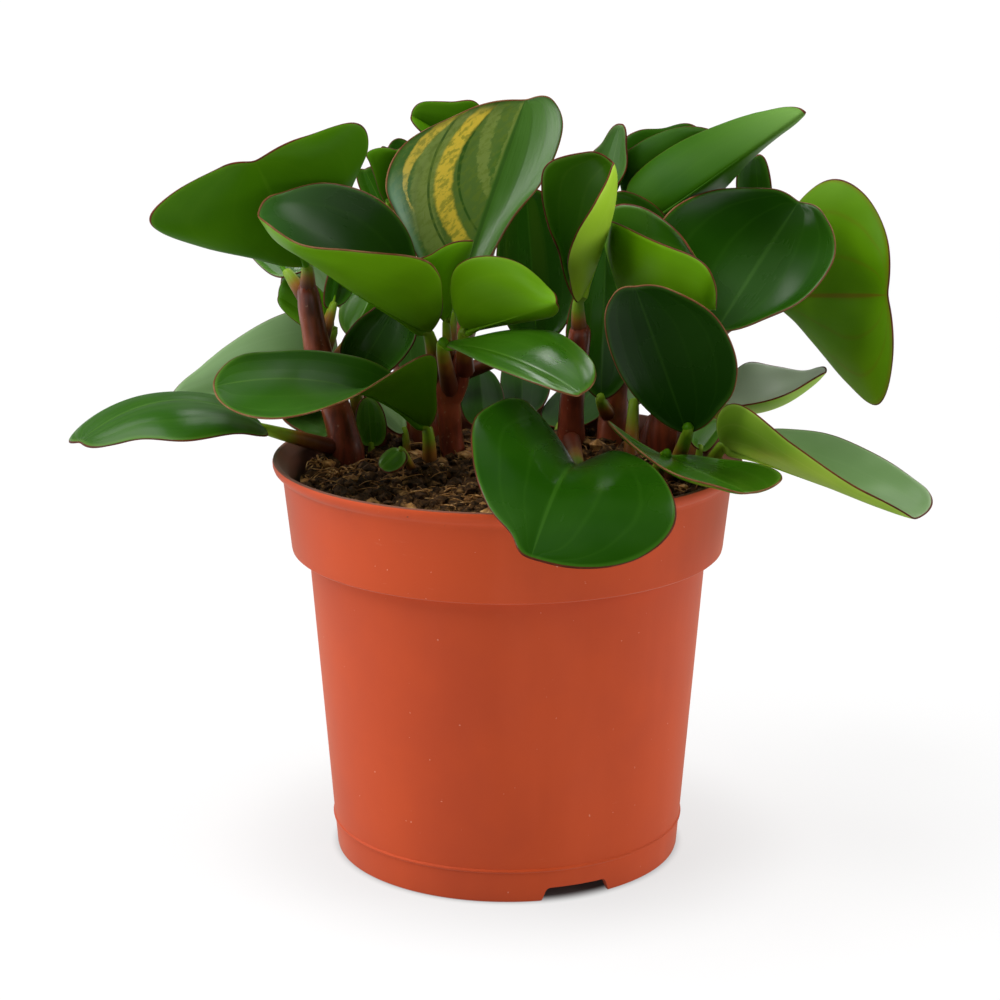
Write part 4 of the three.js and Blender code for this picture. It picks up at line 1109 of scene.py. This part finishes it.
def leaf_finish(
    name, dark, light, vein, veined=0.3, roughness=0.26, rim_width=0.22, under=False, marks=None,
    streaky=0.25, shine=0.34, tip=None, ribs=0.16,
):
    """A green from dark to light, with veins, a rim, and marks or another green at the tip if wanted."""
    finish, shader = new_finish(name)
    across, length, to_rim = on_blade(finish)
    spot = in_space(finish)
    wobble = maths(finish, "MULTIPLY_ADD", cloudy(finish, spot, 70, 2), 0.08, -0.04)
    side = maths(finish, "ABSOLUTE", maths(finish, "ADD", across, wobble))
    nearest = None
    for line in VEINS:
        gap = maths(finish, "ABSOLUTE", maths(finish, "SUBTRACT", side, line))
        gap = times(finish, gap, 1.0 if line else 0.7)
        nearest = gap if nearest is None else maths(finish, "MINIMUM", nearest, gap)
    veins = fade(finish, nearest, 0.0, 0.035, 1, 0)
    hollow = fade(finish, nearest, 0.0, 0.14, 0, 1)
    main = fade(finish, maths(finish, "ABSOLUTE", across), 0.012, 0.03, 1, 0)
    chart = node(finish, "CombineXYZ", {0: times(finish, across, 9.0), 1: length})
    streaks = cloudy(finish, chart, 2.2, 4, 0.5)
    patches = cloudy(finish, spot, 45, 2, 0.5)
    share = 0.3 * min(streaky, 1)
    tone = maths(finish, "MULTIPLY_ADD", streaks, share, times(finish, patches, 1 - share))
    colour = mixed(finish, fade(finish, tone, 0.25, 0.75), dark, light)
    if marks:
        colour = marks(finish, colour, across)
    if tip:
        colour = mixed(finish, fade(finish, length, 0.5, 1.0), colour, tip)
    lines = maths(finish, "MAXIMUM", times(finish, veins, 0.3), main)
    colour = mixed(finish, times(finish, lines, veined), colour, vein)
    ragged_rim = maths(finish, "MULTIPLY_ADD", cloudy(finish, spot, 300, 2), -0.5 * rim_width, to_rim)
    # A lighter margin inside the rim, partly the leaf's paler edge and partly a painted highlight on the
    # rounded edge.
    pale_margin_and_sheen = fade(finish, ragged_rim, 0.3, 1.5, 0.3 if under else 0.55, 0)
    colour = mixed(finish, pale_margin_and_sheen, colour, vein)
    edge = fade(finish, ragged_rim, 0.0, rim_width, 1, 0)
    colour = mixed(finish, edge, colour, RIM_RED)
    gloss = fade(finish, tone, 0.2, 0.8, roughness - 0.06, roughness + 0.06)
    relief = bumpy(finish, streaks, 0.2 * MM, 0.12 * streaky)
    relief = bumpy(finish, hollow, 0.2 * MM, 0.1 if under else ribs, relief)
    relief = bumpy(finish, patches, 0.8 * MM, 0.12, relief)
    relief = bumpy(finish, cloudy(finish, spot, 1500, 2), 0.03 * MM, 0.4, relief)
    shine = 0.08 if under else shine
    set_finish(finish, shader, Base_Color=colour, Roughness=gloss, Normal=relief, Specular_IOR_Level=shine)
    return finish


# %% [markdown]
# One leaf is variegated: its left half has an olive ground with pale patches, dark lines and yellow
# stripes. Each is a curve through three places read off the photograph, of a width that changes on the
# way up, and noise makes its edges ragged. A pale tint along its lower left margin is a painted sheen.

# %% Marks of the variegated leaf
YELLOW = (0.68, 0.49, 0.045)
PALE_PATCH = (0.26, 0.32, 0.07)
OLIVE = (0.095, 0.16, 0.03)
DARK_LINE = (0.02, 0.075, 0.006)
DAPPLE, PAINTED_SHEEN_EDGE = (0.12, 0.18, 0.02), (0.2, 0.38, 0.25)
LEFT_HALF = (-0.02, -0.05)
STRIPES = (
    (((-4.0, 186.0), (-13.0, 171.0), (-9.0, 156.0)), 9.5, 9.5, 0.3, 148, 194, 0.8, OLIVE),
    (((-13.5, 186.0), (-21.3, 173.0), (-20.6, 158.0)), 3.2, 3.6, 0.8, 150, 190, 0.6, PALE_PATCH),
    (((2.2, 184.0), (-0.8, 176.8), (-4.0, 168.0)), 1.1, 1.3, 0.8, 168, 192, 0.45, PALE_PATCH),
    (((-4.4, 184.5), (-6.4, 176.0), (-5.2, 167.9)), 1.3, 1.7, 0.9, 163, 190, 0.5, PALE_PATCH),
    (((-13.8, 185.5), (-20.4, 171.2), (-16.9, 155.4)), 0.35, 0.35, 0.05, 148, 190, 0.85, DARK_LINE),
    (((-5.0, 187.4), (-12.8, 170.8), (-9.0, 159.2)), 0.35, 0.6, 0.05, 152, 194, 0.85, DARK_LINE),
    (((-8.5, 185.6), (-16.7, 170.4), (-12.0, 155.5)), 2.5, 2.3, 0.35, 151, 190, 0.95, YELLOW),
    (((-16.4, 185.0), (-24.4, 177.0), (-25.2, 165.0)), 0.35, 1.8, 0.35, 162.5, 191, 0.85, YELLOW),
)


def off_curve(finish, x, z, places):
    """How far a point is from a curve through three places (x, z), all in mm."""
    bend, slope, start = (float(v) for v in np.polyfit([p[1] for p in places], [p[0] for p in places], 2))
    middle = maths(finish, "MULTIPLY_ADD", maths(finish, "MULTIPLY_ADD", z, bend, slope), z, start)
    return maths(finish, "ABSOLUTE", maths(finish, "SUBTRACT", x, middle))


def stripes(finish, colour, across):
    """The olive ground, dark lines and yellow stripes of the variegated leaf, and a painted sheen at its
    margin.
    """
    spot = in_space(finish)
    x, _, z = xyz(finish, spot)
    x, z = times(finish, x, 1 / MM), times(finish, z, 1 / MM)
    slanted = node(finish, "VectorRotate", {0: spot, 3: 0.7}, rotation_type="Y_AXIS")
    slanted = stretched(finish, slanted, (1, 1, 2.6))
    ragged = cloudy(finish, slanted, 300, 5, 0.7)
    shift = maths(finish, "MULTIPLY_ADD", ragged, 4.4, -2.2)
    for places, low, high, softness, start, end, strength, tint in STRIPES:
        half = fade(finish, z, 165, 182, low, high)
        off = maths(finish, "MULTIPLY_ADD", shift, softness, off_curve(finish, x, z, places))
        cover = fade(finish, maths(finish, "DIVIDE", off, half), 0.7, 1.15, strength, 0)
        for value, none, full in ((z, start, start + 4), (z, end, end - 4), (across, *LEFT_HALF)):
            cover = times(finish, cover, fade(finish, value, none, full))
        colour = mixed(finish, cover, colour, tint)
    dapples = fade(finish, cloudy(finish, slanted, 330, 4, 0.65), 0.46, 0.6)
    left_half = fade(finish, across, *LEFT_HALF, 0, 0.6)
    colour = mixed(finish, times(finish, dapples, left_half), colour, DAPPLE)
    # A painted sheen: a pale tint along the lower left margin.
    pale_margin_and_sheen = times(finish, fade(finish, across, -0.72, -0.92), fade(finish, z, 176, 166, 0, 0.6))
    return mixed(finish, pale_margin_and_sheen, colour, PAINTED_SHEEN_EDGE)


# %% [markdown]
# The leaves differ in age, so the faces come in several greens and glosses, from dark to light and with the
# veins' colour. Some greens also paint light: the grey one is a painted sheen, the pale ones are partly a
# waxy bloom and partly painted sheen, and the bright one paints light that comes through a young leaf. Each
# is named here once.

# %% Greens of the faces
MID_GREENS = (0.018, 0.082, 0.001), (0.029, 0.112, 0.002), (0.09, 0.21, 0.02)
FACES = {}


def upper(name, *greens, **looks):
    """A green of the upper face, kept under its name."""
    FACES[name] = leaf_finish(f"face_{name}_green", *greens, **looks)


upper("deep", (0.010, 0.054, 0.001), (0.017, 0.075, 0.0015), (0.05, 0.15, 0.012), veined=0.35)
upper("calm", (0.009, 0.05, 0.001), (0.015, 0.068, 0.0015), (0.05, 0.15, 0.012), shine=0.22)
upper("dark", (0.005, 0.027, 0.001), (0.009, 0.04, 0.0015), (0.03, 0.09, 0.008), shine=0.18)
upper("mid", *MID_GREENS, veined=0.45)
upper("satin", *MID_GREENS, 0.35, 0.45, shine=0.14)
upper("glossy", *MID_GREENS, 0.4, 0.3, shine=0.75)
upper("ribbed", (0.016, 0.078, 0.001), (0.032, 0.116, 0.002), (0.09, 0.21, 0.02), 0.35, 0.38,
      streaky=1.5, shine=0.24, ribs=0.6)
# The spoon leaf turns lighter green towards its tip, partly its own colour and partly a painted highlight.
upper("cupped", (0.009, 0.045, 0.001), (0.014, 0.062, 0.0015), (0.06, 0.17, 0.015), 0.3, 0.3,
      shine=0.26, tip=(0.045, 0.16, 0.02))
upper("striped", (0.035, 0.11, 0.008), (0.06, 0.16, 0.02), (0.02, 0.06, 0.006), 0.5, 0.32,
      marks=stripes, streaky=2.0, shine=0.5)
upper("fresh", (0.035, 0.13, 0.001), (0.055, 0.17, 0.003), (0.14, 0.28, 0.03), 0.4, 0.3, 0.2)
# Painted light: the young leaf's bright lime stands in for light that comes through its thin blade.
upper("bright", (0.08, 0.27, 0.001), (0.12, 0.34, 0.003), (0.16, 0.36, 0.02), 0.3, 0.34, 0.2)
upper("soft", (0.035, 0.11, 0.012), (0.055, 0.15, 0.02), (0.12, 0.22, 0.06), 0.35, 0.36, 0.2)
# Partly a pale waxy bloom and partly a painted sheen, where flat leaves show the bright back of the room.
upper("pale", (0.115, 0.215, 0.07), (0.175, 0.29, 0.12), (0.22, 0.32, 0.15), 0.3, 0.4, 0.2)
# A painted sheen: the grey stands in for the bright room that a flat leaf reflects.
upper("grey", (0.42, 0.52, 0.36), (0.52, 0.62, 0.46), (0.56, 0.64, 0.5), 0.3, 0.34, 0.2)
upper("shaded", (0.010, 0.045, 0.001), (0.02, 0.075, 0.002), (0.04, 0.12, 0.01), 0.3, 0.6, 0.2, under=True)
print("greens of the faces:", len(FACES))

# %% [markdown]
# The undersides go from a deep leafy green to lime, partly their own paler green and partly painted light
# that comes through the thin blades, most in the young and bright ones. Light comes through the thin
# hanging leaf, so its midrib shows reddish, and the long leaf at the top gets lighter towards its tip.

# %% Greens of the undersides
LIME_GREENS = (0.085, 0.22, 0.001), (0.12, 0.29, 0.003)
BACKS = {}


def underside(name, dark, light, vein, veined=0.25, roughness=0.4, **looks):
    """A green of the underside, kept under its name."""
    looks = {"rim_width": 0.2, "under": True, **looks}
    BACKS[name] = leaf_finish(f"back_{name}_green", dark, light, vein, veined, roughness, **looks)


underside("dark", (0.014, 0.065, 0.001), (0.024, 0.09, 0.0015), (0.04, 0.12, 0.006))
underside("leafy", (0.04, 0.14, 0.001), (0.065, 0.19, 0.002), (0.1, 0.24, 0.01))
underside("lime", *LIME_GREENS, (0.18, 0.34, 0.02))
underside("hanging", *LIME_GREENS, (0.2, 0.06, 0.008), 0.55)
underside("long", (0.018, 0.08, 0.001), (0.03, 0.105, 0.001), (0.06, 0.16, 0.01), tip=(0.13, 0.27, 0.05))
# Painted light: the young leaf's lime underside stands in for light that comes through it.
underside("young", (0.12, 0.36, 0.001), (0.17, 0.44, 0.003), (0.22, 0.46, 0.02))
# Painted light: the upright leaf's bright lime side stands in for light coming through it and its sheen.
underside("bright", (0.36, 0.6, 0.03), (0.46, 0.7, 0.06), (0.5, 0.7, 0.1))
underside("pale", (0.19, 0.36, 0.02), (0.3, 0.48, 0.05), (0.38, 0.52, 0.1), 0.5, 0.42)
print("greens of the undersides:", len(BACKS))

# %% [markdown]
# The rim is a thin red-brown line, tan on some leaves. The stalk is red-brown at its root and turns
# olive and then green towards the blade, by the distance that its mesh keeps.

# %% Finishes of the rims and stalks


def rim_finish(name, first, second):
    """Patches of two browns, nearly matt."""
    finish, shader = new_finish(name)
    spot = in_space(finish)
    patches = cloudy(finish, spot, 160, 4, 0.6)
    colour = mixed(finish, fade(finish, patches, 0.35, 0.68), first, second)
    relief = bumpy(finish, patches, 0.15 * MM, 0.5)
    set_finish(finish, shader, Base_Color=colour, Roughness=0.5, Normal=relief, Specular_IOR_Level=0.1)
    return finish


rim_red = rim_finish("rim_red_brown", RIM_RED, (0.14, 0.03, 0.01))
rim_tan = rim_finish("rim_tan", (0.14, 0.045, 0.015), RIM_TAN)

STALK_RED, STALK_OLIVE, STALK_GREEN = (0.085, 0.017, 0.007), (0.23, 0.095, 0.012), (0.16, 0.28, 0.01)
stalk_finish, shader = new_finish("stalk_green_to_red")
up_stalk = written(stalk_finish, "up_stalk")
spot = in_space(stalk_finish)
patches = cloudy(stalk_finish, spot, 130, 3)
place = maths(stalk_finish, "MULTIPLY_ADD", patches, 0.5, maths(stalk_finish, "SUBTRACT", up_stalk, 0.25))
colour = mixed(stalk_finish, fade(stalk_finish, place, 0.3, 0.72), STALK_RED, STALK_OLIVE)
colour = mixed(stalk_finish, fade(stalk_finish, place, 0.6, 1.0), colour, STALK_GREEN)
relief = bumpy(stalk_finish, patches, 0.2 * MM, 0.4)
set_finish(stalk_finish, shader, Base_Color=colour, Roughness=0.4, Normal=relief, Specular_IOR_Level=0.25)
print("finishes:", rim_red.name, rim_tan.name, stalk_finish.name)

# %% [markdown]
# Each leaf takes a green for its face and one for its underside, by how it looks in the photograph: leaves
# that turn their backs show lime or leafy undersides, and the ones low on the pot are deeper.

# %% Which greens each leaf takes
TONES = {
    ("dark", "leafy"): "leaf_front_dark",
    ("deep", "leafy"): "leaf_left_dark leaf_centre_dark leaf_right_hidden leaf_top_small"
    " leaf_top_hidden leaf_centre_narrow leaf_right_inner leaf_right_broad",
    ("mid", "dark"): "leaf_top_right leaf_top_right_back",
    ("mid", "long"): "leaf_top_long",
    ("satin", "leafy"): "leaf_left_low",
    ("calm", "leafy"): "leaf_front_heart",
    ("shaded", "leafy"): "leaf_inner_left leaf_inner_middle leaf_inner_right",
    ("mid", "lime"): "leaf_right_cupped",
    ("cupped", "lime"): "leaf_spoon",
    ("ribbed", "leafy"): "leaf_left_drooping",
    ("glossy", "leafy"): "leaf_shiny",
    ("deep", "lime"): "leaf_left_inner",
    ("deep", "hanging"): "leaf_right_hanging",
    ("fresh", "bright"): "leaf_upright",
    ("mid", "leafy"): "leaf_left_high leaf_left_high_back leaf_left_bud leaf_front_folded leaf_top_back"
    " leaf_top_dark leaf_back_1 leaf_back_2 leaf_back_3 leaf_back_4 leaf_back_5",
    ("bright", "young"): "leaf_young",
    ("fresh", "lime"): "leaf_round leaf_left_bright seedling leaf_middle_narrow leaf_front_small",
    ("soft", "leafy"): "leaf_left_lower_back leaf_streaked leaf_middle_pale",
    ("pale", "leafy"): "leaf_left_pale leaf_left_grey leaf_middle_grey",
    ("grey", "pale"): "leaf_right_pale",
    ("pale", "pale"): "leaf_right_low leaf_right_behind",
    ("striped", "leafy"): "leaf_striped",
}
TAN_RIMS = (
    "leaf_spoon leaf_shiny leaf_left_low leaf_front_dark leaf_front_folded leaf_right_broad leaf_striped"
).split()
tone_of = {name: tones for tones, names in TONES.items() for name in names.split()}
print("leaves with their greens:", len(tone_of))

# %% [markdown]
# Now each leaf is made from its row. Solidify gives the grid its thickness, and gives the upper face, the
# underside and the rim their own finishes. Subdivision Surface rounds the rim, and the stalk is joined on.

# %% The leaves
SHOWN_THICKNESS = 0.62
LARGE_FROM, CELLS_IF_LARGE, CELLS_IF_SMALL = 30, 22, 14

for row in LEAVES:
    size = (Vector(row["tip"]) - Vector(row["base"])).length
    made = blade(row, CELLS_IF_LARGE if size > LARGE_FROM else CELLS_IF_SMALL)
    face_green, back_green = tone_of[row["name"]]
    rim = rim_tan if row["name"] in TAN_RIMS else rim_red
    for finish in (FACES[face_green], BACKS[back_green], rim):
        made.data.materials.append(finish)
    shape_with(
        made, "SOLIDIFY", thickness=SHOWN_THICKNESS * MM, offset=-1, use_even_offset=True,
        material_offset=1, material_offset_rim=2,
    )
    shape_with(made, "SUBSURF", levels=1, render_levels=1)
    petiole = stalk(row)
    ridge_faces = [side.material_index for side in petiole.data.polygons]
    petiole.data.materials.clear()
    for finish in (stalk_finish, BACKS[back_green]):
        petiole.data.materials.append(finish)
    petiole.data.polygons.foreach_set("material_index", ridge_faces)
    pick(made, petiole)
    bpy.ops.object.join()
    bpy.ops.object.shade_smooth()
    made.name = row["name"].replace("leaf_", "blade_")
    stand_for(made, row["name"])
print("leaves:", len(LEAVES), "triangles of the last:", triangles(made))
